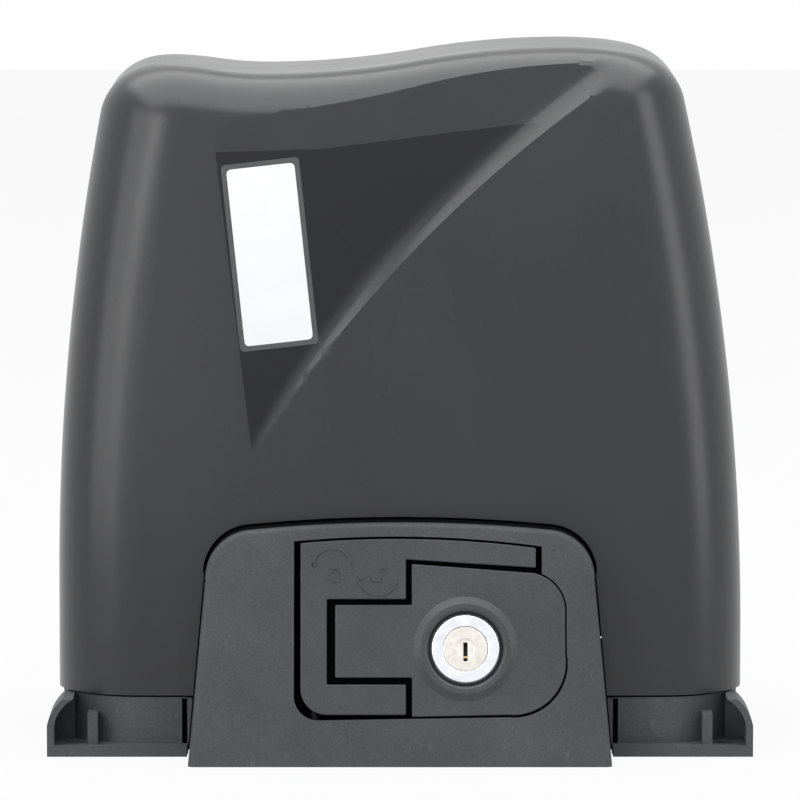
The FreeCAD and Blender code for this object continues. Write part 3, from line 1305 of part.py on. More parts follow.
def rear_plate():
    """Moulded plate in the cover's rear opening, on four standoffs of the gearbox."""
    near = S.box_rear + 6.5
    pad = front_prism("rear_pad", rear_outline(), near, 78.0)
    rim = front_prism("rear_rim", rear_outline(), near, 69.9, 3.0)
    trim = box("rear_trim", (-80, 40, 0), (80, 100, S.cover_foot))
    posts = [rod("standoff", (x, S.box_rear, z), 6.0, 7.5, "along_y") for x, z in REAR_SCREWS]
    solid = fuse("rear_solid", cut("rear_board", fuse("rear_raw", pad, rim), trim), *posts)
    hollow = front_prism("rear_hollow", rear_outline(), near - 5, 74.5, -6.0)
    bosses = [rod("rear_boss", (x, S.box_rear, z), 6.0, 17.0, "along_y") for x, z in REAR_SCREWS]
    bosses.append(rod("rear_hub", (0, near, S.out_z), 22.0, 10.0, "along_y"))
    solid = fuse("rear_ribbed", cut("rear_open", solid, hollow), *bosses)
    cuts = [rod("rear_shaft_hole", (0, 50, S.out_z), 14.0, 50, "along_y")]
    cuts += [rod("rear_screw_hole", (x, 50, z), 2.55, 50, "along_y") for x, z in REAR_SCREWS]
    keep("rear_plate", cut("rear_plate", solid, *cuts))
    screws = [
        turned("rear_screw", "y", [
            (S.box_rear - 9, 0), (81.0, 0), (81.0, 4.5), (78.0, 4.5), (78.0, 2.5), (S.box_rear - 9, 2.5),
        ], (x, 0, z)) for x, z in REAR_SCREWS
    ]
    keep("rear_plate_screws", group("rear_plate_screws", *screws))
    screws = [
        turned("house_screw", "y", [
            (S.house_back - 7, 0), (S.house_back + 5.6, 0), (S.house_back + 5.6, 3.0), (S.house_back + 3.6, 3.0),
            (S.house_back + 3.6, 1.5), (S.house_back - 7, 1.5),
        ], (x, 0, 12)) for x in HOUSE_SCREWS
    ]
    keep("housing_screws", group("housing_screws", *screws))


# --------------------------------------------------------------- electronics

def electronics():
    floor = S.foot_thick
    x = (TRAY_LEFT - 49.5) / 2
    y = -35.0
    left = TRAY_LEFT + 8.5
    can = turned("capacitor_can", "z", [
        (floor + 2, 0), (floor + 2, 15.5), (floor + 4, 17.5), (72.0, 17.5), (74.0, 16.0), (74.0, 0),
    ], (x, y, 0))
    tabs = [box("capacitor_tab", (x + side * 5 - 0.4, y - 3, 73), (x + side * 5 + 0.4, y + 3, 81)) for side in (-1, 1)]
    keep("capacitor", fuse("capacitor", can, *tabs))
    clamp = turned("clamp_round", "z", [
        (floor, 12.0), (floor + 2, 12.0), (floor + 2, 17.5), (22.0, 17.5), (22.0, 19.5), (floor, 19.5),
    ], (x, y, 0))
    keep("capacitor_clamp", fuse(
        "capacitor_clamp", clamp, box("clamp_foot", (x - 24, y - 6, floor), (x - 18, y + 4, floor + 2)),
        box("clamp_foot", (x + 18, y - 6, floor), (x + 22, y + 4, floor + 2))))
    tray = box("tray_sheet", (-98, -30, 116), (-18, -27.5, 205))
    legs = [box("tray_leg", (low, -30, floor), (low + 6, -22, 118)) for low in (left, -66)]
    arms = [box("tray_shoulder", (left, -30, 112), (-60, -24, 118))]
    pins = [rod("board_post", (px, -32, pz), 2.5, 4.0, "along_y") for px in (-93, -23) for pz in (122, 199)]
    keep("board_tray", fuse("board_tray", tray, *legs, *arms, *pins))
    keep("circuit_board", box("circuit_board", (-98, -33.6, 118), (-18, -32, 203)))
    face = -33.6
    chips = [
        box("chip", (-66, face - 3, 150), (-48, face, 168)),
        box("chip_small", (-88, face - 2.5, 150), (-76, face, 158)),
        box("display", (-44, face - 5, 150), (-24, face, 162)),
    ]
    chips += [turned("board_capacitor", "y", sleeve(face - 12, face, as_size(0), as_size(5.0)), (cx, 0, 184))
              for cx in (-60, -46)]
    keep("board_chips", group("board_chips", *chips))
    fins = [box("fin", (-92 + 3 * index, face - 14, 172), (-90.8 + 3 * index, face - 2, 198)) for index in range(6)]
    keep("heat_sink", fuse("heat_sink", box("sink_base", (-93, face - 3, 172), (-74, face, 198)), *fins))
    keep("relays", group("relays", *[
        box("relay", (low, face - 13, 130), (low + 13, face, 146)) for low in (-92, -76)]))
    blocks = []
    for low in (-60, -40):
        block = box("terminal_block", (low, face - 10, 121), (low + 18, face, 131))
        throats = [box("throat", (low + 1.2 + 4.2 * index, face - 11, 123), (low + 4.2 + 4.2 * index, face - 4, 127))
                   for index in range(4)]
        blocks.append(cut("terminal_cut", block, *throats))
    keep("terminal_blocks", group("terminal_blocks", *blocks))
    keep("fuse_holder", fuse(
        "fuse_holder", box("holder_base", (-40, face - 2, 138), (-18.5, face, 144)),
        box("holder_end", (-40, face - 7, 138.5), (-38.4, face, 143.5)),
        box("holder_end", (-20.1, face - 7, 138.5), (-18.5, face, 143.5))))
    keep("fuse", rod("fuse", (-38.4, face - 4.9, 141), 2.5, 18.3, "along_x"))
    stack = box("transformer_stack", (left + 4, 8, floor + 4), (-64, 47, 48))
    window = box("stack_window", (left + 15, 0, 17), (-75, 60, 37))
    coil = box("transformer_coil", (left + 12, 4, 18), (-72, 51, 36))
    feet = box("transformer_foot", (left, 12, floor), (-60, 43, floor + 4))
    keep("transformer", group(
        "transformer", fuse("transformer_frame", cut("stack_open", stack, window), feet),
        common("transformer_winding", coil, box("winding_room", (left + 15, 0, 17), (-75, 60, 37)))))


def sensor():
    rear = S.box_rear
    body_low = 118.0
    block = box("sensor_block", (-25, 50, body_low), (25, 64, body_low + 16))
    eye = rod("sensor_eye", (0, 63, body_low + 8), 4.0, 3.0, "along_y")
    keep("limit_sensor", fuse("limit_sensor", block, eye))
    plate = box("bracket_shelf", (-25, 50, body_low - 2), (25, 64, body_low))
    leg = box("bracket_leg", (-20, rear - 6, 100), (20, rear - 3, body_low - 1))
    foot = box("bracket_foot", (-20, rear - 14, 100), (20, rear - 3, 102))
    keep("sensor_bracket", fuse("sensor_bracket", plate, leg, foot))
    grommet = turned("cable_grommet", "z", [
        (0.2, 7.0), (7.0, 7.0), (7.0, 12.0), (S.foot_thick, 12.0), (S.foot_thick, 9.0), (0.2, 9.0),
    ], (CABLE[0], CABLE[1], 0))
    keep("cable_grommet", grommet)


def main():
    base_tray()
    release_housing()
    release_lever()
    lock_plate()
    hinge_pin()
    lock_parts()
    release_slider()
    release_pin()
    cover()
    rear_plate()
    gearbox()
    worm_wheel()
    worm_shaft()
    output_shaft()
    clutch()
    motor()
    electronics()
    sensor()
    doc.recompute()
    for item in doc.Objects:
        if "Invalid" in item.State or "Error" in item.State:
            raise ValueError("%s: %s" % (item.Name, item.State))
    for item in SUBPARTS:
        if item.Shape.isNull() or not item.Shape.isValid():
            raise ValueError("%s has no sound shape" % item.Label)
    os.makedirs(FOLDER, exist_ok=True)
    for item in SUBPARTS:
        item.Shape.exportStep(os.path.join(FOLDER, item.Label + ".step"))
    print("exported %d sub-parts" % len(SUBPARTS))


main()
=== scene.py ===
"""Looks of a sliding gate motor: moulded cover, release lever with lock, drive and electronics."""

import json
import math

import bmesh
import bpy
import numpy
from mathutils import Matrix, Vector
from mathutils.bvhtree import BVHTree


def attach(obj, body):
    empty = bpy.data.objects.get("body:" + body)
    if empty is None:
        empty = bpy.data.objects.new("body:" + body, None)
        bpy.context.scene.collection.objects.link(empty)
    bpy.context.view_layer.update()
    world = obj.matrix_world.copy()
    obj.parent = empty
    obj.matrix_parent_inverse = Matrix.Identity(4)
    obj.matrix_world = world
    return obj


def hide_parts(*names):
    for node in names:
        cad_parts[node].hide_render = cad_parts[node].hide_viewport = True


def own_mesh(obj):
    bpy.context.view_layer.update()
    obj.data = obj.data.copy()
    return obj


bl_info = {
    "name": "Sliding gate motor",
    "version": (1, 0, 0),
    "blender": (4, 5, 0),
    "location": "View3D > Sidebar > Gate motor",
    "description": "Dresses the sliding gate motor's frame with finished surfaces and sets its stage",
    "category": "Object",
}

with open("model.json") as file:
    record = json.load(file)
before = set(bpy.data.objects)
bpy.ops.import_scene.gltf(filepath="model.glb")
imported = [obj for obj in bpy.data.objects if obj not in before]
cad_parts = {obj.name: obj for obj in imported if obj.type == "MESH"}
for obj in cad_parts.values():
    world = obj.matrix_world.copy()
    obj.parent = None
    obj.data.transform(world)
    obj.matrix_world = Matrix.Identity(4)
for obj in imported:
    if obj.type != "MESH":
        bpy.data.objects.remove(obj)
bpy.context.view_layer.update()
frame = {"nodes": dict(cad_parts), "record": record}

# The lever panel leans back; places on it are given in millimetres across, up and out of its face.
LEAN = math.radians(11.0)
PANEL_ORIGIN = Vector((0.0, -0.103, 0.0))
PANEL_UP = Vector((0.0, math.sin(LEAN), math.cos(LEAN)))
PANEL_OUT = Vector((0.0, -math.cos(LEAN), math.sin(LEAN)))
PANEL = Matrix((
    (1.0, PANEL_UP.x, PANEL_OUT.x, PANEL_ORIGIN.x),
    (0.0, PANEL_UP.y, PANEL_OUT.y, PANEL_ORIGIN.y),
    (0.0, PANEL_UP.z, PANEL_OUT.z, PANEL_ORIGIN.z),
    (0.0, 0.0, 0.0, 1.0),
))
MM = 0.001
SIGN_RISE = 0.35
BODY_OF = {
    node: body
    for body, nodes in frame["record"]["behaviour"]["bodies"].items()
    for node in nodes
}


# ------------------------------------------------------------------ materials

COLOR_A, COLOR_B, MIXED = 6, 7, 2


def new_material(name, color, roughness, metallic=0.0, coat=0.0, specular=0.5):
    """A Principled material with its constant values on the shader's own sockets."""
    material = bpy.data.materials.new(name)
    material.use_nodes = True
    shader = material.node_tree.nodes["Principled BSDF"]
    shader.inputs["Base Color"].default_value = (*color, 1.0)
    shader.inputs["Roughness"].default_value = roughness
    shader.inputs["Metallic"].default_value = metallic
    shader.inputs["Coat Weight"].default_value = coat
    shader.inputs["Specular IOR Level"].default_value = specular
    return material


def add_node(material, kind, **values):
    """A new node; values are its sockets by name, or else its settings."""
    node = material.node_tree.nodes.new(kind)
    for key, value in values.items():
        if key in node.inputs:
            node.inputs[key].default_value = value
        else:
            setattr(node, key, value)
    return node


def link(material, source, output, target, socket):
    """Wire one node's output to another's socket."""
    material.node_tree.links.new(source.outputs[output], target.inputs[socket])


def shader_of(material):
    return material.node_tree.nodes["Principled BSDF"]


def mapped(material, scale=(1.0, 1.0, 1.0), turn=(0.0, 0.0, 0.0)):
    """Object coordinates through a Mapping node."""
    coordinates = add_node(material, "ShaderNodeTexCoord")
    mapping = add_node(material, "ShaderNodeMapping")
    mapping.inputs["Scale"].default_value = scale
    mapping.inputs["Rotation"].default_value = turn
    link(material, coordinates, "Object", mapping, "Vector")
    return mapping


def noise(material, scale, detail=4.0, roughness=0.55, stretch=(1.0, 1.0, 1.0), turn=(0.0, 0.0, 0.0)):
    """Noise on object coordinates."""
    texture = add_node(material, "ShaderNodeTexNoise")
    texture.inputs["Scale"].default_value = scale
    texture.inputs["Detail"].default_value = detail
    texture.inputs["Roughness"].default_value = roughness
    link(material, mapped(material, stretch, turn), "Vector", texture, "Vector")
    return texture


def ramp(material, source, output, stops):
    """Colour ramp over a texture; stops are (position, colour)."""
    node = add_node(material, "ShaderNodeValToRGB")
    elements = node.color_ramp.elements
    while len(elements) < len(stops):
        elements.new(0.5)
    for element, (position, color) in zip(elements, stops):
        element.position = position
        element.color = (*color, 1.0)
    link(material, source, output, node, "Fac")
    return node


def spread(material, source, output, low, high, new_low, new_high):
    """Map a value's range from low and high to new_low and new_high."""
    node = add_node(material, "ShaderNodeMapRange")
    for key, value in (("From Min", low), ("From Max", high), ("To Min", new_low), ("To Max", new_high)):
        node.inputs[key].default_value = value
    link(material, source, output, node, "Value")
    return node


def blend_colors(material, factor, output, first, second):
    """Mix a (node, output) colour with a plain colour by a factor."""
    node = add_node(material, "ShaderNodeMix", data_type="RGBA", blend_type="MIX")
    link(material, factor, output, node, "Factor")
    link(material, first[0], first[1], node, COLOR_A)
    node.inputs[COLOR_B].default_value = (*second, 1.0)
    return node


def times(material, first, output, factor, factor_output):
    """Multiply a colour by a grey factor."""
    node = add_node(material, "ShaderNodeMix", data_type="RGBA", blend_type="MULTIPLY")
    node.inputs["Factor"].default_value = 1.0
    link(material, first, output, node, COLOR_A)
    link(material, factor, factor_output, node, COLOR_B)
    return node


def shades(color, *parts):
    """Lighter and darker kinds of a colour, none over white."""
    return [tuple(min(channel * part, 1.0) for channel in color) for part in parts]


def bump(material, layers):
    """Chain of bumps; layers are (texture, output, strength, distance)."""
    last = None
    for texture, output, strength, distance in layers:
        node = add_node(material, "ShaderNodeBump")
        node.inputs["Strength"].default_value = strength
        node.inputs["Distance"].default_value = distance
        link(material, texture, output, node, "Height")
        if last:
            link(material, last, "Normal", node, "Normal")
        last = node
    link(material, last, "Normal", shader_of(material), "Normal")


def scratches(material, scale, turn, threshold):
    """Sparse fine lines: a stretched noise cut off high."""
    lines = noise(material, scale, 2.0, 0.6, (1.0, 1.0, 0.03), turn)
    return spread(material, lines, "Fac", threshold, threshold + 0.03, 0.0, 1.0)


def cover_plastic(color, field_shade_color, roughness):
    """Dark moulded plastic with a soft shine, hazy wipe marks and hairline scratches, and painted shade on
    the sunken field: a darker colour and a dimmer reflection there.
    """
    specular = 0.48
    material = new_material("cover_plastic", color, roughness, coat=0.05, specular=specular)
    shader = shader_of(material)
    shader.inputs["Coat Roughness"].default_value = 0.22
    haze = noise(material, 9.0, 5.0, 0.6, (1.0, 1.0, 0.55))
    fine = noise(material, 900.0, 2.0)
    dull, hazy, pale, scratch = shades(color, 0.9, 1.12, 1.35, 3.2)
    cloud = ramp(material, haze, "Fac", [(0.35, dull), (0.62, hazy), (0.8, pale)])
    marks = scratches(material, 60.0, (0.3, 0.5, 0.2), 0.735)
    tint = blend_colors(material, marks, "Result", (cloud, "Color"), scratch)
    gloss = spread(material, haze, "Fac", 0.3, 0.75, roughness - 0.05, roughness + 0.1)
    link(material, gloss, "Result", shader, "Roughness")
    bump(material, [(haze, "Fac", 0.05, 0.002), (fine, "Fac", 0.06, 0.0001)])
    # Painted shade: the field takes a darker colour and a dimmer specular reflection wherever its
    # face-corner mark is set.
    field = add_node(material, "ShaderNodeAttribute", attribute_name=FIELD_SHADE_MARK)
    field_painted_shade = blend_colors(material, field, "Fac", (tint, MIXED), field_shade_color)
    link(material, field_painted_shade, MIXED, shader, "Base Color")
    shine = spread(material, field, "Fac", 0.0, 1.0, specular, specular * 0.6)
    link(material, shine, "Result", shader, "Specular IOR Level")
    return material


def painted_gap_shade(material, first, output, low=-0.0034, high=-0.0012):
    """Painted shade: darken a colour and dim its specular reflection between two depths behind the lever
    panel's face, in the gaps where shade falls.
    """
    darkest = 0.05
    coordinates = add_node(material, "ShaderNodeTexCoord")
    reach = add_node(material, "ShaderNodeVectorMath", operation="DOT_PRODUCT")
    reach.inputs[1].default_value = PANEL_OUT
    link(material, coordinates, "Object", reach, 0)
    face = PANEL_ORIGIN.dot(PANEL_OUT)
    # Painted shade: deeper in the gaps, the colour falls to its darkest and the reflection dims.
    depth = spread(material, reach, "Value", face + low, face + high, darkest, 1.0)
    specular = shader_of(material).inputs["Specular IOR Level"]
    dull = spread(material, depth, "Result", 0.0, 1.0, 0.0, specular.default_value)
    material.node_tree.links.new(dull.outputs["Result"], specular)
    return times(material, first, output, depth, "Result")


def worn_plastic(name, color, roughness, wear, grain_scale=620.0, deep=False):
    """Rough moulded plastic: cloudy tone, pale scuffs and a fine grain, and with deep set, painted shade in
    the gaps behind the lever panel's face.
    """
    material = new_material(name, color, roughness, specular=0.4)
    shader = shader_of(material)
    clouds = noise(material, 26.0, 6.0, 0.65)
    grain = noise(material, grain_scale, 3.0, 0.6)
    blotches = noise(material, 150.0, 5.0, 0.7, (1.0, 1.0, 0.6))
    dull, pale, scratch = shades(color, 0.82, 1.3, 2.0)
    tone = ramp(material, clouds, "Fac", [(0.3, dull), (0.55, color), (0.75, pale)])
    rubbed = spread(material, blotches, "Fac", 0.6, 0.78, 0.0, wear)
    scuff = tuple(min(part * 2.4 + 0.02, 0.5) for part in color)
    tint = blend_colors(material, rubbed, "Result", (tone, "Color"), scuff)
    marks = scratches(material, 75.0, (0.9, 0.2, 0.7), 0.72)
    marked = blend_colors(material, marks, "Result", (tint, MIXED), scratch)
    speckle = noise(material, 1500.0, 2.0, 0.7)
    specks = spread(material, speckle, "Fac", 0.3, 0.7, 0.78, 1.22)
    surface = times(material, marked, MIXED, specks, "Result")
    # Painted shade in the gaps of the housing and the lever.
    if deep:
        surface = painted_gap_shade(material, surface, MIXED)
    link(material, surface, MIXED, shader, "Base Color")
    gloss = spread(material, blotches, "Fac", 0.3, 0.8, roughness - 0.06, roughness + 0.14)
    link(material, gloss, "Result", shader, "Roughness")
    bump(material, [(clouds, "Fac", 0.05, 0.001), (grain, "Fac", 0.22, 0.00012)])
    return material


def plain_plastic(name, color, roughness, grain=0.1, specular=0.5):
    """Clean moulded plastic with a slight tone change and a fine grain."""
    material = new_material(name, color, roughness, specular=specular)
    shader = shader_of(material)
    clouds = noise(material, 40.0, 4.0)
    fine = noise(material, 800.0, 2.0)
    dull, pale = shades(color, 0.9, 1.12)
    tone = ramp(material, clouds, "Fac", [(0.3, dull), (0.7, pale)])
    link(material, tone, "Color", shader, "Base Color")
    gloss = spread(material, clouds, "Fac", 0.3, 0.7, roughness - 0.05, roughness + 0.06)
    link(material, gloss, "Result", shader, "Roughness")
    bump(material, [(fine, "Fac", grain, 0.0001)])
    return material


def machined_metal(name, color, roughness, axis, lines=0.12):
    """Turned or ground metal with fine tool lines across the axis."""
    material = new_material(name, color, roughness, metallic=1.0)
    shader = shader_of(material)
    stretch = {"x": (1.0, 0.02, 0.02), "y": (0.02, 1.0, 0.02), "z": (0.02, 0.02, 1.0)}[axis]
    tool = noise(material, 2600.0, 2.0, 0.5, stretch)
    stain = noise(material, 60.0, 5.0, 0.6)
    dull, bright = shades(color, 0.8, 1.05)
    tone = ramp(material, stain, "Fac", [(0.3, dull), (0.7, bright)])
    link(material, tone, "Color", shader, "Base Color")
    gloss = spread(material, stain, "Fac", 0.3, 0.75, roughness - 0.05, roughness + 0.1)
    link(material, gloss, "Result", shader, "Roughness")
    bump(material, [(tool, "Fac", lines, 0.00008)])
    return material


def cast_metal(name, color, roughness):
    """Die-cast metal: grainy skin with dull and bright patches."""
    material = new_material(name, color, roughness, metallic=0.85)
    shader = shader_of(material)
    skin_grain = noise(material, 480.0, 4.0, 0.7)
    patches = noise(material, 45.0, 6.0, 0.65)
    dull, bright = shades(color, 0.62, 1.15)
    tone = ramp(material, patches, "Fac", [(0.28, dull), (0.6, color), (0.8, bright)])
    link(material, tone, "Color", shader, "Base Color")
    gloss = spread(material, patches, "Fac", 0.3, 0.75, roughness - 0.08, roughness + 0.12)
    link(material, gloss, "Result", shader, "Roughness")
    bump(material, [(skin_grain, "Fac", 0.35, 0.0002)])
    return material


def zinc_plate():
    """Zinc plating with a faint spangle."""
    material = new_material("zinc_plate", (0.62, 0.63, 0.66), 0.34, metallic=1.0)
    shader = shader_of(material)
    spangle = add_node(material, "ShaderNodeTexVoronoi")
    spangle.inputs["Scale"].default_value = 420.0
    link(material, mapped(material), "Vector", spangle, "Vector")
    tone = ramp(material, spangle, "Distance", [(0.0, (0.52, 0.53, 0.56)), (1.0, (0.74, 0.74, 0.75))])
    link(material, tone, "Color", shader, "Base Color")
    stain = noise(material, 70.0, 4.0)
    gloss = spread(material, stain, "Fac", 0.3, 0.7, 0.28, 0.46)
    link(material, gloss, "Result", shader, "Roughness")
    return material


def polished_chrome():
    """Bright plating with a trace of fine wear."""
    material = new_material("polished_chrome", (0.78, 0.81, 0.85), 0.3, metallic=1.0)
    shader = shader_of(material)
    wear = noise(material, 240.0, 5.0, 0.65)
    gloss = spread(material, wear, "Fac", 0.35, 0.75, 0.2, 0.36)
    link(material, gloss, "Result", shader, "Roughness")
    tone = ramp(material, wear, "Fac", [(0.3, (0.76, 0.79, 0.83)), (0.7, (0.82, 0.84, 0.88))])
    link(material, tone, "Color", shader, "Base Color")
    return material


def plug_nickel():
    """Warm nickel face of the lock's plug, with painted shade inside its key slot."""
    material = new_material("plug_nickel", (0.76, 0.73, 0.68), 0.3, metallic=1.0)
    shader = shader_of(material)
    wear = noise(material, 500.0, 4.0, 0.6)
    tone = ramp(material, wear, "Fac", [(0.3, (0.71, 0.68, 0.63)), (0.7, (0.79, 0.76, 0.71))])
    # Painted shade darkens the key slot below the plug's face.
    link(material, painted_gap_shade(material, tone, "Color", -0.0012, 0.0001), MIXED, shader, "Base Color")
    gloss = spread(material, wear, "Fac", 0.3, 0.7, 0.24, 0.38)
    link(material, gloss, "Result", shader, "Roughness")
    return material


def laminated_steel():
    """Stack of stamped sheets seen on their edges, lines across X."""
    material = new_material("laminated_steel", (0.3, 0.31, 0.33), 0.45, metallic=0.9)
    shader = shader_of(material)
    wave = add_node(material, "ShaderNodeTexWave", bands_direction="X")
    wave.inputs["Scale"].default_value = 320.0
    wave.inputs["Distortion"].default_value = 0.3
    link(material, mapped(material), "Vector", wave, "Vector")
    patches = noise(material, 50.0, 4.0)
    tone = ramp(material, patches, "Fac", [(0.3, (0.2, 0.2, 0.22)), (0.7, (0.42, 0.43, 0.45))])
    link(material, tone, "Color", shader, "Base Color")
    bump(material, [(wave, "Fac", 0.5, 0.0002)])
    return material


def copper_winding(name, direction):
    """Varnished copper wire laid side by side."""
    material = new_material(name, (0.52, 0.2, 0.07), 0.3, metallic=0.85, coat=0.5)
    shader = shader_of(material)
    wave = add_node(material, "ShaderNodeTexWave", wave_type="RINGS", rings_direction=direction)
    wave.inputs["Scale"].default_value = 260.0
    wave.inputs["Distortion"].default_value = 1.2
    wave.inputs["Detail"].default_value = 1.0
    link(material, mapped(material), "Vector", wave, "Vector")
    tone = ramp(material, wave, "Fac", [(0.2, (0.25, 0.08, 0.03)), (0.7, (0.62, 0.26, 0.1))])
    link(material, tone, "Color", shader, "Base Color")
    bump(material, [(wave, "Fac", 0.6, 0.0004)])
    return material


def printed_board():
    """Green solder mask with raised tracks and bright pads."""
    material = new_material("printed_board", (0.02, 0.16, 0.07), 0.32, coat=0.4)
    shader = shader_of(material)
    tracks = add_node(material, "ShaderNodeTexBrick")
    tracks.inputs["Scale"].default_value = 130.0
    tracks.inputs["Mortar Size"].default_value = 0.06
    tracks.inputs["Brick Width"].default_value = 0.9
    tracks.inputs["Row Height"].default_value = 0.3
    tracks.inputs["Color1"].default_value = (0.012, 0.13, 0.055, 1.0)
    tracks.inputs["Color2"].default_value = (0.02, 0.17, 0.075, 1.0)
    tracks.inputs["Mortar"].default_value = (0.05, 0.3, 0.14, 1.0)
    link(material, mapped(material, turn=(math.radians(90.0), 0.0, 0.0)), "Vector", tracks, "Vector")
    pads = add_node(material, "ShaderNodeTexVoronoi")
    pads.inputs["Scale"].default_value = 260.0
    link(material, mapped(material), "Vector", pads, "Vector")
    dots = spread(material, pads, "Distance", 0.1, 0.14, 1.0, 0.0)
    tint = blend_colors(material, dots, "Result", (tracks, "Color"), (0.5, 0.48, 0.4))
    link(material, tint, MIXED, shader, "Base Color")
    bump(material, [(tracks, "Fac", 0.2, 0.0001)])
    return material


def sticker_paper():
    """Blank white film with a faint ripple."""
    material = new_material("sticker_film", (0.86, 0.87, 0.88), 0.32, coat=0.3)
    shader = shader_of(material)
    ripple = noise(material, 55.0, 3.0)
    tone = ramp(material, ripple, "Fac", [(0.3, (0.83, 0.84, 0.855)), (0.7, (0.885, 0.89, 0.9))])
    link(material, tone, "Color", shader, "Base Color")
    bump(material, [(ripple, "Fac", 0.06, 0.0006)])
    return material


def label_film():
    """Clear glossy margin of the sticker."""
    material = new_material("label_film", (0.05, 0.052, 0.056), 0.16, coat=0.6)
    ripple = noise(material, 70.0, 3.0)
    gloss = spread(material, ripple, "Fac", 0.3, 0.7, 0.1, 0.24)
    link(material, gloss, "Result", shader_of(material), "Roughness")
    tone = ramp(material, ripple, "Fac", [(0.3, (0.045, 0.047, 0.05)), (0.7, (0.06, 0.062, 0.066))])
    link(material, tone, "Color", shader_of(material), "Base Color")
    return material


def clear_glass():
    """Glass tube of the fuse."""
    material = new_material("fuse_glass", (0.9, 0.95, 0.97), 0.06)
    shader = shader_of(material)
    shader.inputs["Transmission Weight"].default_value = 0.85
    shader.inputs["IOR"].default_value = 1.48
    streak = noise(material, 300.0, 3.0)
    gloss = spread(material, streak, "Fac", 0.3, 0.7, 0.03, 0.12)
    link(material, gloss, "Result", shader, "Roughness")
    return material


MATERIALS = {}


def finish(name):
    """The shared material of that name, made when first asked for."""
    if name not in MATERIALS:
        looks = bpy.context.scene.motor_looks
        cover, field, base = tuple(looks.cover_color), tuple(looks.field_shade_color), tuple(looks.base_color)
        # Painted light: the tray takes the housing's plastic colour made 1.3 times lighter.
        tray, wear, lever = tuple(part * 1.3 for part in base), looks.base_wear, tuple(looks.lever_color)
        makers = {
            "cover": lambda: cover_plastic(cover, field, looks.cover_roughness),
            "base": lambda: worn_plastic("base_plastic", tray, 0.6, wear),
            "housing": lambda: worn_plastic("housing_plastic", base, 0.6, wear, deep=True),
            "lever": lambda: worn_plastic("lever_plastic", lever, 0.42, 0.08, 900.0, deep=True),
            "inner": lambda: plain_plastic("inner_plastic", (0.03, 0.031, 0.034), 0.5),
            "nylon": lambda: plain_plastic("nylon", (0.035, 0.035, 0.038), 0.55),
            "chrome": polished_chrome,
            "shaft_x": lambda: machined_metal("ground_steel_x", (0.6, 0.61, 0.63), 0.24, "x"),
            "shaft_y": lambda: machined_metal("ground_steel_y", (0.6, 0.61, 0.63), 0.24, "y"),
            "black_steel": lambda: machined_metal("black_steel", (0.015, 0.015, 0.016), 0.6, "z"),
            "plug": plug_nickel,
            "brass": lambda: machined_metal("key_brass", (0.7, 0.5, 0.2), 0.3, "z"),
            "bronze": lambda: machined_metal("wheel_bronze", (0.55, 0.34, 0.14), 0.32, "y"),
            "pinion": lambda: machined_metal("pinion_steel", (0.5, 0.5, 0.52), 0.36, "y", 0.2),
            "zinc": zinc_plate,
            "cast": lambda: cast_metal("cast_aluminium", (0.56, 0.57, 0.58), 0.42),
            "laminated": laminated_steel,
            "winding": lambda: copper_winding("stator_copper", "X"),
            "coil": lambda: copper_winding("transformer_copper", "Z"),
            "rubber": lambda: plain_plastic("seal_rubber", (0.018, 0.018, 0.018), 0.72, 0.25, 0.35),
            "capacitor": lambda: plain_plastic("capacitor_case", (0.72, 0.73, 0.74), 0.3, 0.05),
            "board": printed_board,
            "chip": lambda: plain_plastic("chip_epoxy", (0.02, 0.02, 0.022), 0.48, 0.2),
            "relay": lambda: plain_plastic("relay_blue", (0.03, 0.13, 0.42), 0.3, 0.05),
            "terminal": lambda: plain_plastic("terminal_green", (0.04, 0.3, 0.12), 0.34, 0.05),
            "sticker": sticker_paper,
            "film": label_film,
            "glass": clear_glass,
        }
        MATERIALS[name] = makers[name]()
    return MATERIALS[name]


# --------------------------------------------------------------------- pieces

def as_object(bm, name, material):
    """Turn a bmesh into an object at the origin."""
    mesh = bpy.data.meshes.new(name)
    bm.to_mesh(mesh)
    bm.free()
    piece = bpy.data.objects.new(name, mesh)
    bpy.context.scene.collection.objects.link(piece)
    mesh.materials.append(material)
    return piece


def smooth(bm, angle):
    """Shade smooth, with edges sharp where the faces turn by more than the angle."""
    for face in bm.faces:
        face.smooth = True
    for edge in bm.edges:
        edge.smooth = len(edge.link_faces) == 2 and edge.calc_face_angle(0.0) < math.radians(angle)


def rounded_edges(piece, width, angle=40.0, clamp=True):
    """Narrow rounded edges that catch the light; the width is in millimetres."""
    bevel = piece.modifiers.new("edges", "BEVEL")
    bevel.width = width * MM
    bevel.segments = 2 if width < 0.8 else 3
    bevel.limit_method = "ANGLE"
    bevel.angle_limit = math.radians(angle)
    bevel.use_clamp_overlap = clamp
    bevel.harden_normals = True


def skin(node, material, edge=0.0, angle=32.0, clamp=True):
    """A merged, smoothly shaded copy of a frame node that takes its place."""
    bm = bmesh.new()
    bm.from_mesh(frame["nodes"][node].data)
    bmesh.ops.remove_doubles(bm, verts=bm.verts, dist=1e-6)
    bmesh.ops.dissolve_limit(bm, angle_limit=math.radians(0.6), verts=bm.verts, edges=bm.edges)
    smooth(bm, angle)
    piece = as_object(bm, node + "_skin", finish(material))
    if edge:
        rounded_edges(piece, edge, clamp=clamp)
    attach(piece, BODY_OF[node])
    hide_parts(node)
    return piece


def skins(pieces):
    """Skins of several nodes, each given as (node, finish, rounding in millimetres)."""
    for node, material, edge in pieces:
        skin(node, material, edge)


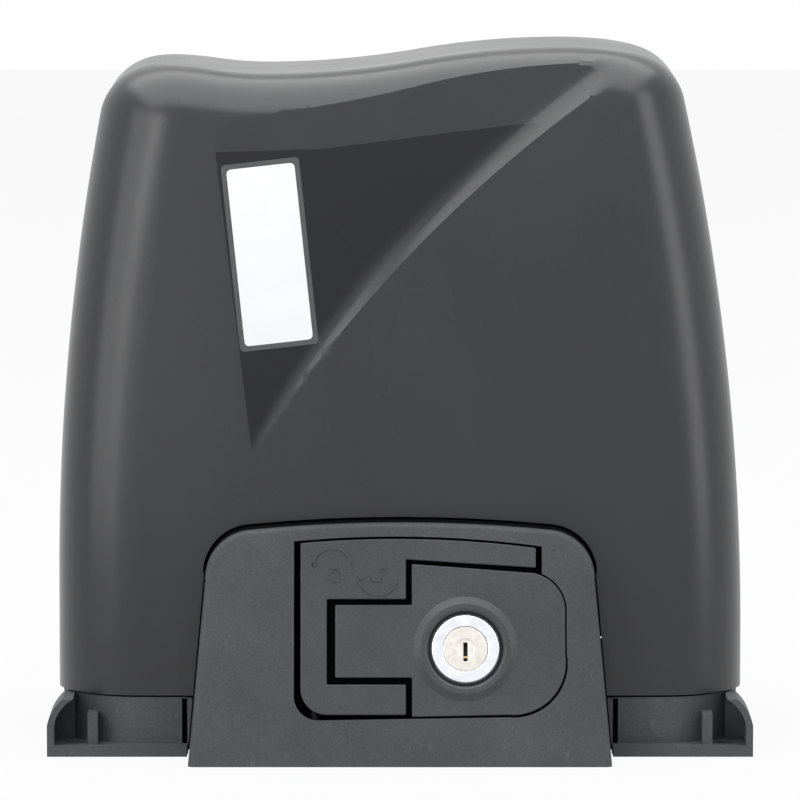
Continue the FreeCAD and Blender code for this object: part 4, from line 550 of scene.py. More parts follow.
def block(bm, low, high, side=1):
    """Box between two corners in millimetres, mirrored in X for side -1."""
    middle = Vector([(a + b) / 2 for a, b in zip(low, high)])
    size = [(b - a) * MM for a, b in zip(low, high)]
    middle.x *= side
    matrix = Matrix.Translation(middle * MM) @ Matrix.Diagonal((*size, 1.0))
    bmesh.ops.create_cube(bm, size=1.0, matrix=matrix)


def panel_bar(bm, center, size, turn=0.0, height=SIGN_RISE, base=0.0):
    """Thin raised bar on the lever panel; center and size in millimetres on the panel."""
    at = Vector((center[0] * MM, center[1] * MM, (base + height / 2) * MM))
    matrix = (
        PANEL @ Matrix.Translation(at) @ Matrix.Rotation(turn, 4, "Z")
        @ Matrix.Diagonal((size[0] * MM, size[1] * MM, height * MM, 1.0)))
    bmesh.ops.create_cube(bm, size=1.0, matrix=matrix)


def panel_arc(bm, center, radius, start, stop, width, steps=14):
    """Thin raised arc on the lever panel, swept by a spin from one small upright rectangle."""
    begin = Vector((center[0] + radius * math.cos(start), center[1] + radius * math.sin(start), 0.0)) * MM
    matrix = (
        PANEL @ Matrix.Translation(begin + Vector((0.0, 0.0, SIGN_RISE / 2 * MM)))
        @ Matrix.Rotation(start, 4, "Z") @ Matrix.Rotation(math.radians(90.0), 4, "X")
        @ Matrix.Diagonal((width * MM, SIGN_RISE * MM, 1.0, 1.0)))
    verts = bmesh.ops.create_grid(bm, x_segments=1, y_segments=1, size=0.5, matrix=matrix)["verts"]
    face = verts[0].link_faces[0]
    bmesh.ops.spin(
        bm, geom=[*verts, *face.edges, face], cent=PANEL @ (Vector((center[0], center[1], 0.0)) * MM),
        axis=PANEL_OUT, angle=stop - start, steps=steps, use_duplicate=False)


def seal_mesh(bm):
    """Close the open ends and turn the faces outwards."""
    bmesh.ops.remove_doubles(bm, verts=bm.verts, dist=1e-7)
    holes = [edge for edge in bm.edges if len(edge.link_faces) == 1]
    if holes:
        bmesh.ops.holes_fill(bm, edges=holes, sides=0)
    bmesh.ops.recalc_face_normals(bm, faces=bm.faces)


def padlock(bm, center, opened):
    """Little padlock sign: body, key dot and a shackle that is shut or swung open."""
    x, foot = center
    half_x, half_w, line, shackle = 1.7, 1.35, 0.5, 1.1
    panel_bar(bm, (x, foot), (half_x * 2, half_w * 2))
    panel_bar(bm, (x, foot), (0.6, 1.1), height=0.5)
    top = foot + half_w
    swing = 2.4 if opened else 0.0
    for side in (-1, 1):
        if not (opened and side > 0):
            panel_bar(bm, (x + swing + side * shackle, top + 0.5), (line, 1.1))
    panel_arc(bm, (x + swing, top + 1.0), shackle, 0.0, math.pi, line, steps=8)


def arrow_arc(bm, center, start, stop, head_turn):
    """Curved turn arrow with its head at the stop end; angles in degrees."""
    radius, line = 7.2, 0.65
    start, stop, head_turn = (math.radians(angle) for angle in (start, stop, head_turn))
    panel_arc(bm, center, radius, start, stop, line)
    tip = (center[0] + radius * math.cos(stop), center[1] + radius * math.sin(stop))
    for barb in (-0.6, 0.6):
        angle = head_turn + barb
        middle = (tip[0] + 0.95 * math.cos(angle), tip[1] + 0.95 * math.sin(angle))
        panel_bar(bm, middle, (2.1, 0.6), angle)


# ----------------------------------------------------------- cover's form

# All in millimetres: X across, Z up, and the front at negative Y.

COVER_HALF, COVER_DEPTH, COVER_FOOT, COVER_CREST = 122.0, 76.0, 21.2, 246.0
# Where each side starts to lean in, and the radius of that arc.
SIDE_LEFT, SIDE_RIGHT = (60.0, 930.0), (40.0, 900.0)
CREST_LEFT, DIP, CREST_RIGHT = (-86.0, 242.4), (-48.0, 239.5), (59.0, 248.8)
CORNER, BROW = 28.0, 24.0
FACE_START, FACE_RADIUS, FACE_BOW = 40.0, 1000.0, 3.0
CREASE_CENTER, CREASE_RADIUS = (328.4, -135.4), 450.9
CREASE_LOW, CREASE_HIGH = 106.5, 231.0
FOLD_LOW, FOLD_HIGH = (-52.2, 106.5), (-67.6, 232.0)
# Upper edge of the sunken field: cut into the mesh, and the line where the field's painted shade stops.
FIELD_TOP = [(-68.0, 213.0), (-28.0, 214.1), (-2.5, 217.2), (20.0, 220.0), (43.0, 222.6), (60.0, 224.0)]
FIELD_TURN = math.tan(math.radians(2.6))
FIELD_RIGHT = 75.0
SINK_TOP, SINK_RIGHT = 247.0, 84.0
# Width of the ramp at its foot, how much wider it gets, and over what height.
RAMP_NARROW, RAMP_GROWTH, RAMP_RISE = 3.5, 5.5, 60.0
FRONT_BEFORE = -20.0
# Name of the face-corner mark that places the field's painted shade.
FIELD_SHADE_MARK = "field"
BROW_START, BROW_SPAN, BROW_SEARCH = -72.0, 140.0, (195.0, 244.0)
# Release housing as the cover's opening goes round it: half-widths, heights, corner and crown.
HOUSING_FOOT, HOUSING_SHOULDER, HOUSING_SHOULDER_Z = 74.5, 68.6, 64.0
HOUSING_CORNER, HOUSING_CROWN_Z, HOUSING_CROWN_RADIUS = 17.0, 84.2, 541.0
MOUTH_GAP = 0.8
# Openings start below the cover's foot and are cut only in the wall this far out.
OPEN_FOOT, OPEN_BEYOND = 10.0, 20.0


def side_field(x, z):
    """How far a point is outside the sides; each side leans in on a wide arc above its start."""
    results = []
    for across, (start, radius) in ((-x, SIDE_LEFT), (x, SIDE_RIGHT)):
        arc = numpy.hypot(across - COVER_HALF + radius, z - start) - radius
        results.append(numpy.where(z < start, across - COVER_HALF, arc))
    return numpy.maximum(*results)


def bend(low, high):
    """Radius of two equal arcs that join a low and a high point smoothly."""
    across, rise = high[0] - low[0], high[1] - low[1]
    return (across * across + rise * rise) / (rise * 4.0)


def wave_field(x, z):
    """How far a point is above the wavy top; crests and dip are arcs that meet smoothly."""
    down, up, end_radius = abs(bend(DIP, CREST_LEFT)), bend(DIP, CREST_RIGHT), 130.0

    def crest(point, radius):
        return numpy.hypot(x - point[0], z - point[1] + radius) - radius

    def hollow(point, radius):
        return radius - numpy.hypot(x - point[0], z - point[1] - radius)

    first, second = (CREST_LEFT[0] + DIP[0]) / 2, (DIP[0] + CREST_RIGHT[0]) / 2
    return numpy.select(
        [x < first, x < DIP[0], x < second, x < CREST_RIGHT[0]],
        [crest(CREST_LEFT, down), hollow(DIP, down), hollow(DIP, up), crest(CREST_RIGHT, up)],
        crest(CREST_RIGHT, end_radius))


def bow(x):
    """How far the front and back fall back towards their ends."""
    half_chord = 150.0
    radius = (half_chord ** 2 + FACE_BOW ** 2) / (2 * FACE_BOW)
    return radius - numpy.sqrt(radius * radius - x * x)


def face_field(x, y, z):
    """How far a point is outside the bulging front and back."""
    reach = FACE_RADIUS - bow(x)
    return numpy.hypot(numpy.abs(y) - COVER_DEPTH + FACE_RADIUS, z - FACE_START) - reach


def round_over(first, second, radius, lean):
    """Join two outside distances with a rolled edge; lean is the dot product of their normals."""
    a, b = first + radius, second + radius
    rolled = numpy.sqrt(numpy.maximum(a * a + b * b - 2 * a * b * lean, 0.0) / (1 - lean * lean))
    inside = (a > b * lean) & (b > a * lean) & (a > 0) & (b > 0)
    return numpy.where(inside, rolled, numpy.maximum(a, b)) - radius


def wall_field(x, y, z):
    """How far a point is outside the four walls with their rounded upright corners."""
    return round_over(side_field(x, z), face_field(x, y, z), CORNER, 0.0)


def cover_field(x, y, z):
    """How far a point is outside the cover's rounded form."""
    step = 0.01
    top = wave_field(x, z)
    wall = wall_field(x, y, z)
    top_x = (wave_field(x + step, z) - top) / step
    top_z = (wave_field(x, z + step) - top) / step
    wall_x = (wall_field(x + step, y, z) - wall) / step
    wall_z = (wall_field(x, y, z + step) - wall) / step
    return round_over(top, wall, BROW, numpy.clip(top_x * wall_x + top_z * wall_z, -0.7, 0.7))


def cover_surface(cube):
    """Carry the points of a cube of half-size 1 out to the cover's surface, in millimetres."""
    a, b, c = cube.T
    z = COVER_FOOT + (c + 1) / 2 * (COVER_CREST - COVER_FOOT)
    half = numpy.full_like(z, COVER_HALF)
    for start, radius in (SIDE_LEFT, SIDE_RIGHT):
        rise = numpy.maximum(z - start, 0.0)
        half = numpy.minimum(half, COVER_HALF - radius + numpy.sqrt(radius * radius - rise * rise))
    lean = numpy.maximum(z - FACE_START, 0.0)
    deep = COVER_DEPTH - FACE_RADIUS + numpy.sqrt(FACE_RADIUS ** 2 - lean * lean)
    x, y = a * half, b * deep
    core, core_top = CORNER + 2, COVER_CREST - BROW - 12
    inner = numpy.stack([
        numpy.clip(x, core - half, half - core), numpy.clip(y, core - deep, deep - core),
        numpy.minimum(z, core_top)], axis=1)
    out = numpy.stack([x, y, z], axis=1) - inner
    out /= numpy.linalg.norm(out, axis=1)[:, None]
    reach = numpy.zeros(len(z))
    for _ in range(40):
        point = inner + out * reach[:, None]
        reach -= cover_field(*point.T)
    return inner + out * reach[:, None]


def front_y(x, z):
    """Y of the plain front face, without its brow."""
    reach = FACE_RADIUS - bow(x)
    return FACE_RADIUS - COVER_DEPTH - numpy.sqrt(reach * reach - (z - FACE_START) ** 2)


def fold_x(z):
    """Line on the left about which the sunken field turns."""
    share = (z - FOLD_LOW[1]) / (FOLD_HIGH[1] - FOLD_LOW[1])
    return FOLD_LOW[0] + share * (FOLD_HIGH[0] - FOLD_LOW[0])


def ramp_width(z):
    """Width of the hollow ramp along the crease, growing upward."""
    return RAMP_NARROW + RAMP_GROWTH * numpy.clip((z - CREASE_LOW) / RAMP_RISE, 0.0, 1.0)


def field_depth(x, z):
    """How deep the sunken field lies: turned about its left line, with a hollow ramp up to the crease."""
    floor = numpy.maximum(x - fold_x(z), 0.0) * FIELD_TURN
    inward = numpy.hypot(x - CREASE_CENTER[0], z - CREASE_CENTER[1]) - CREASE_RADIUS
    share = numpy.clip(inward / ramp_width(z), 0.0, 1.0)
    return floor * (1.0 - (1.0 - share) ** 2)


def ramp_line(share, count=26):
    """Line along the ramp, from the crease (share 0) to the ramp's foot (share 1)."""
    line = []
    for index in range(count + 1):
        z = CREASE_LOW + (CREASE_HIGH - CREASE_LOW) * index / count
        radius = CREASE_RADIUS + share * float(ramp_width(z))
        line.append((CREASE_CENTER[0] - math.sqrt(radius * radius - (z - CREASE_CENTER[1]) ** 2), z))
    return line


def brow_line(count=24):
    """Line where the sunken field runs out into the brow, found by halving its height."""
    line = []
    for index in range(count + 1):
        x = BROW_START + BROW_SPAN * index / count
        low, high = BROW_SEARCH
        for _ in range(40):
            z = (low + high) / 2
            y = float(front_y(x, z)) + float(field_depth(x, z))
            if float(cover_field(numpy.array([x]), numpy.array([y]), numpy.array([z]))[0]) > 0:
                high = z
            else:
                low = z
        line.append((x, z))
    return line


def sink_field(bm):
    """Push the front in over the sunken field."""
    for vert in bm.verts:
        x, y, z = vert.co / MM
        if y < FRONT_BEFORE and FOLD_LOW[1] < z < SINK_TOP and x < SINK_RIGHT:
            vert.co.y = max(y, float(front_y(x, z)) + float(field_depth(x, z))) * MM


def top_height(x):
    """Height of the crisp upper end of the sunken field and of its painted shade."""
    return float(numpy.interp(x, [point[0] for point in FIELD_TOP], [point[1] for point in FIELD_TOP]))


def mark_field_shade(bm):
    """Write how far each face corner belongs to the field's floor, fading out over the ramp; this mark
    places the field's painted shade.
    """
    layer = bm.loops.layers.float.new(FIELD_SHADE_MARK)
    for face in bm.faces:
        x, y, z = face.calc_center_median() / MM
        if y > FRONT_BEFORE or x < fold_x(z) or x > FIELD_RIGHT or not FOLD_LOW[1] < z < top_height(x):
            continue
        for loop in face.loops:
            x, _, z = loop.vert.co / MM
            inward = math.hypot(x - CREASE_CENTER[0], z - CREASE_CENTER[1]) - CREASE_RADIUS
            share = min(max(inward / float(ramp_width(z)), 0.0), 1.0)
            loop[layer] = share * share * (3.0 - 2.0 * share)


def corner_arc(center, radius, start, stop, count):
    """Points of an arc, seen along an axis."""
    return [
        (center[0] + radius * math.cos(start + (stop - start) * index / count),
         center[1] + radius * math.sin(start + (stop - start) * index / count))
        for index in range(count + 1)]


def score(bm, line, axis, side):
    """Cut edges into one face of the cover along a line of points seen along an axis (0 for X, 1 for Y)."""
    flat = 1 - axis
    margin, nearby, beside, behind = 0.006, 0.0012, 0.004, 0.02
    points = [Vector((point[0], point[1])) * MM for point in line]

    def seen(face):
        center = face.calc_center_median()
        return Vector((center[flat], center.z)), center[axis] * side

    low_u, high_u = min(p.x for p in points) - margin, max(p.x for p in points) + margin
    low_v, high_v = min(p.y for p in points) - margin, max(p.y for p in points) + margin
    pool = set()
    for face in bm.faces:
        spot, out = seen(face)
        if out > behind and low_u < spot.x < high_u and low_v < spot.y < high_v:
            pool.add(face)
    for start, stop in zip(points, points[1:]):
        along = (stop - start).normalized()
        across = Vector((along.y, -along.x))
        length = (stop - start).length
        near = []
        for face in pool:
            spot = seen(face)[0] - start
            if -nearby < spot.dot(along) < length + nearby and abs(spot.dot(across)) < beside:
                near.append(face)
        if not near:
            continue
        origin, normal = Vector((0.0, 0.0, start.y)), Vector((0.0, 0.0, across.y))
        origin[flat], normal[flat] = start.x, across.x
        edges = {edge for face in near for edge in face.edges}
        verts = {vert for face in near for vert in face.verts}
        made = bmesh.ops.bisect_plane(
            bm, geom=[*near, *edges, *verts], dist=0.00003, plane_co=origin, plane_no=normal)
        pool.update(item for item in made["geom"] if isinstance(item, bmesh.types.BMFace))
        pool = {face for face in pool if face.is_valid}


def open_up(bm, line, axis, side):
    """Cut an opening with the outline of a closed or foot-ended line."""
    score(bm, line, axis, side)
    flat = 1 - axis

    def inside(u, v):
        odd = False
        for (u0, v0), (u1, v1) in zip(line, line[1:] + line[:1]):
            if (v0 > v) != (v1 > v) and u < (u1 - u0) * (v - v0) / (v1 - v0) + u0:
                odd = not odd
        return odd

    doomed = []
    for face in bm.faces:
        center = face.calc_center_median() / MM
        if center[axis] * side > OPEN_BEYOND and inside(center[flat], center.z):
            doomed.append(face)
    bmesh.ops.delete(bm, geom=doomed, context="FACES")


def mouth_line():
    """Outline of the opening round the release housing, seen from the front."""
    slope = math.atan2(HOUSING_FOOT - HOUSING_SHOULDER, HOUSING_SHOULDER_Z)
    foot = HOUSING_FOOT + MOUTH_GAP / math.cos(slope) - OPEN_FOOT * math.tan(slope)
    right = [(foot, OPEN_FOOT), (HOUSING_SHOULDER + MOUTH_GAP, HOUSING_SHOULDER_Z)]
    corner = (HOUSING_SHOULDER - HOUSING_CORNER + 0.4, HOUSING_SHOULDER_Z + 0.6)
    right += corner_arc(corner, HOUSING_CORNER + MOUTH_GAP, math.radians(6.0), math.radians(84.0), 9)
    for x in (39.0, 26.0, 13.0, 0.0):
        fall = HOUSING_CROWN_RADIUS - math.sqrt(HOUSING_CROWN_RADIUS ** 2 - x * x)
        right.append((x, HOUSING_CROWN_Z + MOUTH_GAP - fall))
    return right + [(-x, z) for x, z in reversed(right) if x > 0]


def rear_line():
    """Outline of the opening round the rear plate, seen along Y."""
    half, top, corner = 50.6, 108.6, 16.6
    middle = (half - corner, top - corner)
    right = [(half, OPEN_FOOT)] + corner_arc(middle, corner, 0.0, math.radians(90.0), 8)
    return right + [(-x, z) for x, z in reversed(right)]


# ------------------------------------------------------------------- settings

class MotorLooks(bpy.types.PropertyGroup):
    """Colours and finish of the outside."""

    cover_color: bpy.props.FloatVectorProperty(
        name="Cover colour", description="Base colour of the moulded cover",
        subtype="COLOR", size=3, default=(0.0165, 0.017, 0.019), min=0.0, max=1.0)
    # Painted shade colour of the cover's sunken field.
    field_shade_color: bpy.props.FloatVectorProperty(
        name="Field colour", description="Base colour of the cover's sunken field",
        subtype="COLOR", size=3, default=(0.008, 0.0083, 0.0095), min=0.0, max=1.0)
    cover_roughness: bpy.props.FloatProperty(
        name="Cover roughness", description="Roughness of the cover", default=0.27, min=0.1, max=0.9)
    # The tray's paler colour is painted light on the same plastic.
    base_color: bpy.props.FloatVectorProperty(
        name="Base colour", description="Base colour of the release housing; the tray is a little paler",
        subtype="COLOR", size=3, default=(0.055, 0.0565, 0.061), min=0.0, max=1.0)
    base_wear: bpy.props.FloatProperty(
        name="Base wear", description="How pale the rubbed patches of the base are",
        default=0.5, min=0.0, max=1.0)
    lever_color: bpy.props.FloatVectorProperty(
        name="Lever colour", description="Base colour of the lever and the lock plate",
        subtype="COLOR", size=3, default=(0.05, 0.052, 0.0565), min=0.0, max=1.0)


class MotorLabel(bpy.types.PropertyGroup):
    """Blank sticker on the cover."""

    width: bpy.props.FloatProperty(
        name="Width", description="Width of the white part", default=0.0242, unit="LENGTH")
    height: bpy.props.FloatProperty(
        name="Height", description="Height of the white part", default=0.0622, unit="LENGTH")
    margin: bpy.props.FloatProperty(
        name="Clear margin", description="Clear film round the white part", default=0.0018, unit="LENGTH")
    tilt: bpy.props.FloatProperty(
        name="Tilt", description="Turn from upright", default=math.radians(-6.2), subtype="ANGLE")


class MotorStage(bpy.types.PropertyGroup):
    """Camera and lights."""

    distance: bpy.props.FloatProperty(
        name="Camera distance", description="Camera distance in front of the origin",
        default=2.5, unit="LENGTH")
    height: bpy.props.FloatProperty(
        name="Camera height", description="Camera height above the floor", default=0.388, unit="LENGTH")
    pitch: bpy.props.FloatProperty(
        name="Camera pitch", description="Downward tilt of the camera",
        default=math.radians(6.154), subtype="ANGLE")
    lens: bpy.props.FloatProperty(
        name="Lens", description="Focal length for a 36 mm sensor", default=311.1, min=20.0, max=500.0)
    overhead: bpy.props.FloatProperty(
        name="Overhead lamp", description="Power of the overhead lamp", default=47.0, unit="POWER")
    high_front: bpy.props.FloatProperty(
        name="High front lamps", description="Power of each lamp high in front", default=2.5, unit="POWER")
    side: bpy.props.FloatProperty(
        name="Side lamps", description="Power that the side lamps take their shares of",
        default=5.5, unit="POWER")
    front: bpy.props.FloatProperty(
        name="Front lamp", description="Power of the front lamp", default=6.0, unit="POWER")


# ------------------------------------------------------------------ operators

CUTS = ((0, 118), (2, 108), (1, 34))
# Boxes, by two corners in millimetres, that line the pocket of each side screw.
CHANNEL = (
    ((115.2, -9.8, 21.2), (118.0, 9.8, 41.8)),
    ((117.5, -9.8, 21.2), (119.6, -7.0, 41.8)),
    ((117.5, 7.0, 21.2), (119.6, 9.8, 41.8)),
    ((117.5, -9.8, 39.0), (119.3, 9.8, 41.8)),
)
SIDE_POCKET = [(-7.0, OPEN_FOOT), (-7.0, 39.0), (7.0, 39.0), (7.0, OPEN_FOOT)]
COVER_SHELL, COVER_WALL = "cover_shell", 0.0028


class MOTOR_OT_cover(bpy.types.Operator):
    """Make the cover: rounded moulded shell, sunken field, openings and screw channels"""

    bl_idname = "motor.cover"
    bl_label = "Cover"

    def execute(self, context):
        bm = bmesh.new()
        bmesh.ops.create_cube(bm, size=2.0)
        bmesh.ops.delete(bm, geom=[face for face in bm.faces if face.normal.z < -0.5], context="FACES")
        for axis, cuts in CUTS:
            along = [
                edge for edge in bm.edges
                if abs((edge.verts[1].co - edge.verts[0].co).normalized()[axis]) > 0.9]
            bmesh.ops.subdivide_edges(bm, edges=along, cuts=cuts, use_grid_fill=True)
        bm.verts.ensure_lookup_table()
        points = cover_surface(numpy.array([vert.co[:] for vert in bm.verts]))
        for vert, point in zip(bm.verts, points):
            vert.co = point * MM
        for share in (0.0, 0.35, 0.7, 1.0):
            score(bm, ramp_line(share), 1, -1)
        for line in ([FOLD_LOW, FOLD_HIGH], brow_line(), FIELD_TOP):
            score(bm, line, 1, -1)
        sink_field(bm)
        open_up(bm, mouth_line(), 1, -1)
        open_up(bm, rear_line(), 1, 1)
        for side in (-1, 1):
            open_up(bm, SIDE_POCKET, 0, side)
        bmesh.ops.remove_doubles(bm, verts=bm.verts, dist=0.00004)
        bmesh.ops.recalc_face_normals(bm, faces=bm.faces)
        smooth(bm, 19.0)
        mark_field_shade(bm)
        shell = as_object(bm, COVER_SHELL, finish("cover"))
        wall = shell.modifiers.new("wall", "SOLIDIFY")
        wall.thickness = COVER_WALL
        wall.offset = -1.0
        wall.use_even_offset = True
        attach(shell, "cover")
        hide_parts("cover")
        channels = bmesh.new()
        for side in (-1, 1):
            for low, high in CHANNEL:
                block(channels, low, high, side)
        smooth(channels, 30.0)
        inner = as_object(channels, "cover_channels", finish("cover"))
        rounded_edges(inner, 0.3)
        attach(inner, "cover")
        return {"FINISHED"}


LABEL_CENTER = Vector((-0.0461, 0.0, 0.1772))
LABEL_CORNER = 0.0016
FILM_LIFT, PAPER_LIFT = 0.00008, 0.00016


class MOTOR_OT_label(bpy.types.Operator):
    """Stick the blank label on the cover"""

    bl_idname = "motor.label"
    bl_label = "Label"

    def execute(self, context):
        label = context.scene.motor_label
        cover = bpy.data.objects[COVER_SHELL]
        bm = bmesh.new()
        bm.from_mesh(cover.data)
        tree = BVHTree.FromBMesh(bm)
        bm.free()
        margin = 2 * label.margin
        for name, material, wide, high, lift in (
                ("label_film", "film", label.width + margin, label.height + margin, FILM_LIFT),
                ("label_face", "sticker", label.width, label.height, PAPER_LIFT)):
            bm = bmesh.new()
            bmesh.ops.create_grid(bm, x_segments=12, y_segments=30, size=0.5)
            turn = Matrix.Rotation(label.tilt, 4, "Y")
            for vert in bm.verts:
                flat = turn @ Vector((vert.co.x * wide, 0.0, vert.co.y * high)) + LABEL_CENTER
                hit = tree.ray_cast(Vector((flat.x, -0.2, flat.z)), Vector((0.0, 1.0, 0.0)))[0]
                if hit is None:
                    raise RuntimeError("the label misses the cover")
                vert.co = Vector((flat.x, hit.y - lift, flat.z))
            corners = [vert for vert in bm.verts if len(vert.link_edges) == 2]
            bmesh.ops.bevel(
                bm, geom=corners, offset=LABEL_CORNER, affect="VERTICES", segments=4, profile=0.5,
                material=-1)
            bmesh.ops.recalc_face_normals(bm, faces=bm.faces)
            if bm.faces[0].normal.y > 0:
                bmesh.ops.reverse_faces(bm, faces=bm.faces)
            smooth(bm, 60.0)
            piece = as_object(bm, name, finish(material))
            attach(piece, "cover")
        return {"FINISHED"}


# Inner side, in metres, of the slim lips between the tray's wall and the slanting release housing.
LIP_FOOT, LIP_MIDDLE, LIP_TOP = 0.0752, 0.076, 0.0734


class MOTOR_OT_base(bpy.types.Operator):
    """Make the tray and the release housing"""

    bl_idname = "motor.base"
    bl_label = "Base and housing"

    def execute(self, context):
        skin("base_tray", "base", 0.35)
        skin("release_housing", "housing", 0.3)
        wedges = bmesh.new()
        for side in (-1, 1):
            matrix = Matrix.Translation(Vector((side * 76.2, -73.2, 10.2)) * MM) @ Matrix.Diagonal(
                (0.0026, 0.0026, 0.0202, 1.0))
            for vert in bmesh.ops.create_cube(wedges, size=1.0, matrix=matrix)["verts"]:
                if vert.co.x * side < LIP_MIDDLE:
                    vert.co.x = side * (LIP_FOOT if vert.co.z < 0.01 else LIP_TOP)
        bmesh.ops.recalc_face_normals(wedges, faces=wedges.faces)
        lips = as_object(wedges, "tray_lips", finish("base"))
        rounded_edges(lips, 0.2)
        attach(lips, "base")
        skin("rear_plate", "base", 0.4)
        skin("cable_grommet", "rubber", 0.3)
        return {"FINISHED"}


class MOTOR_OT_lever(bpy.types.Operator):
    """Make the release lever and the lock plate with their raised signs"""

    bl_idname = "motor.lever"
    bl_label = "Release lever"

    def execute(self, context):
        skin("release_lever", "lever", 0.45, 20.0, clamp=False)
        skin("lock_plate", "lever", 0.45, 12.0, clamp=False)
        bm = bmesh.new()
        padlock(bm, (-22.9, 66.4), False)
        padlock(bm, (-8.3, 66.6), True)
        arrow_arc(bm, (-23.7, 69.6), 5.0, 172.0, 55.0)
        arrow_arc(bm, (-7.7, 67.6), -20.0, -172.0, -55.0)
        seal_mesh(bm)
        smooth(bm, 40.0)
        signs = as_object(bm, "lever_signs", finish("lever"))
        rounded_edges(signs, 0.1, 30.0)
        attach(signs, "lever")
        return {"FINISHED"}


class MOTOR_OT_lock(bpy.types.Operator):
    """Make the lock's bezel, plug, nut and cam, and the brass seen in the key slot"""

    bl_idname = "motor.lock"
    bl_label = "Lock"

    def execute(self, context):
        skin("lock_body", "chrome", 0.25)
        skin("lock_plug", "plug", 0.15)
        skin("lock_nut", "zinc", 0.2)
        skin("lock_cam", "zinc", 0.2)
        bm = bmesh.new()
        panel_bar(bm, (23.0, 38.6), (1.3, 0.6), height=0.4, base=-0.5)
        seal_mesh(bm)
        smooth(bm, 40.0)
        wards = as_object(bm, "key_wards", finish("brass"))
        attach(wards, "lock")
        return {"FINISHED"}


class MOTOR_OT_release(bpy.types.Operator):
    """Make the release train and the clutch"""

    bl_idname = "motor.release"
    bl_label = "Release train"

    def execute(self, context):
        skins((
            ("lever_hinge_pin", "black_steel", 0.0), ("release_slider", "nylon", 0.3),
            ("release_pin", "shaft_y", 0.15), ("clutch_rod", "shaft_y", 0.15),
            ("clutch_cross_pin", "shaft_x", 0.15), ("clutch_sleeve", "shaft_y", 0.3)))
        spring = skin("clutch_spring", "shaft_y")
        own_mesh(spring)
        return {"FINISHED"}


class MOTOR_OT_drive(bpy.types.Operator):
    """Make the gearbox, the worm set, the output shaft and the pinion"""

    bl_idname = "motor.drive"
    bl_label = "Drive"

    def execute(self, context):
        skins((
            ("gearbox_housing", "cast", 0.6), ("gearbox_cover", "cast", 0.5),
            ("worm_shaft", "shaft_x", 0.0), ("worm_wheel", "bronze", 0.0),
            ("output_shaft", "shaft_y", 0.0), ("output_bearings", "shaft_y", 0.2),
            ("worm_bearings", "shaft_x", 0.2), ("shaft_seal", "rubber", 0.2), ("pinion", "pinion", 0.0),
            ("pinion_key", "shaft_y", 0.2), ("pinion_retainer", "zinc", 0.3)))
        return {"FINISHED"}


class MOTOR_OT_motor(bpy.types.Operator):
    """Make the electric motor"""

    bl_idname = "motor.motor"
    bl_label = "Electric motor"

    def execute(self, context):
        skins((
            ("rotor_core", "laminated", 0.2), ("stator_core", "laminated", 0.3),
            ("stator_windings", "winding", 2.5), ("motor_end_cap", "cast", 0.6)))
        return {"FINISHED"}


class MOTOR_OT_electronics(bpy.types.Operator):
    """Make the control board, its parts, the capacitor and the transformer"""

    bl_idname = "motor.electronics"
    bl_label = "Electronics"

    def execute(self, context):
        skins((
            ("capacitor", "capacitor", 0.4), ("capacitor_clamp", "inner", 0.3),
            ("board_tray", "inner", 0.4), ("circuit_board", "board", 0.1), ("board_chips", "chip", 0.2),
            ("heat_sink", "cast", 0.2), ("transformer", "laminated", 0.4), ("relays", "relay", 0.4),
            ("terminal_blocks", "terminal", 0.2), ("fuse", "glass", 0.2), ("fuse_holder", "chip", 0.2),
            ("limit_sensor", "inner", 0.6), ("sensor_bracket", "zinc", 0.2)))
        return {"FINISHED"}


class MOTOR_OT_fasteners(bpy.types.Operator):
    """Make the screws and bolts"""

    bl_idname = "motor.fasteners"
    bl_label = "Fasteners"

    def execute(self, context):
        for node in (
                "housing_screws", "cover_screws", "gearbox_cover_screws", "gearbox_mount_bolts",
                "motor_tie_bolts", "rear_plate_screws"):
            skin(node, "zinc", 0.25)
        return {"FINISHED"}


def area_lamp(name, at, toward, size, power):
    """Rectangular lamp that faces a point."""
    data = bpy.data.lights.new(name, "AREA")
    data.shape = "RECTANGLE"
    data.size, data.size_y = size
    data.energy = power
    lamp = bpy.data.objects.new(name, data)
    bpy.context.scene.collection.objects.link(lamp)
    lamp.location = at
    lamp.rotation_euler = (Vector(toward) - Vector(at)).to_track_quat("-Z", "Y").to_euler()


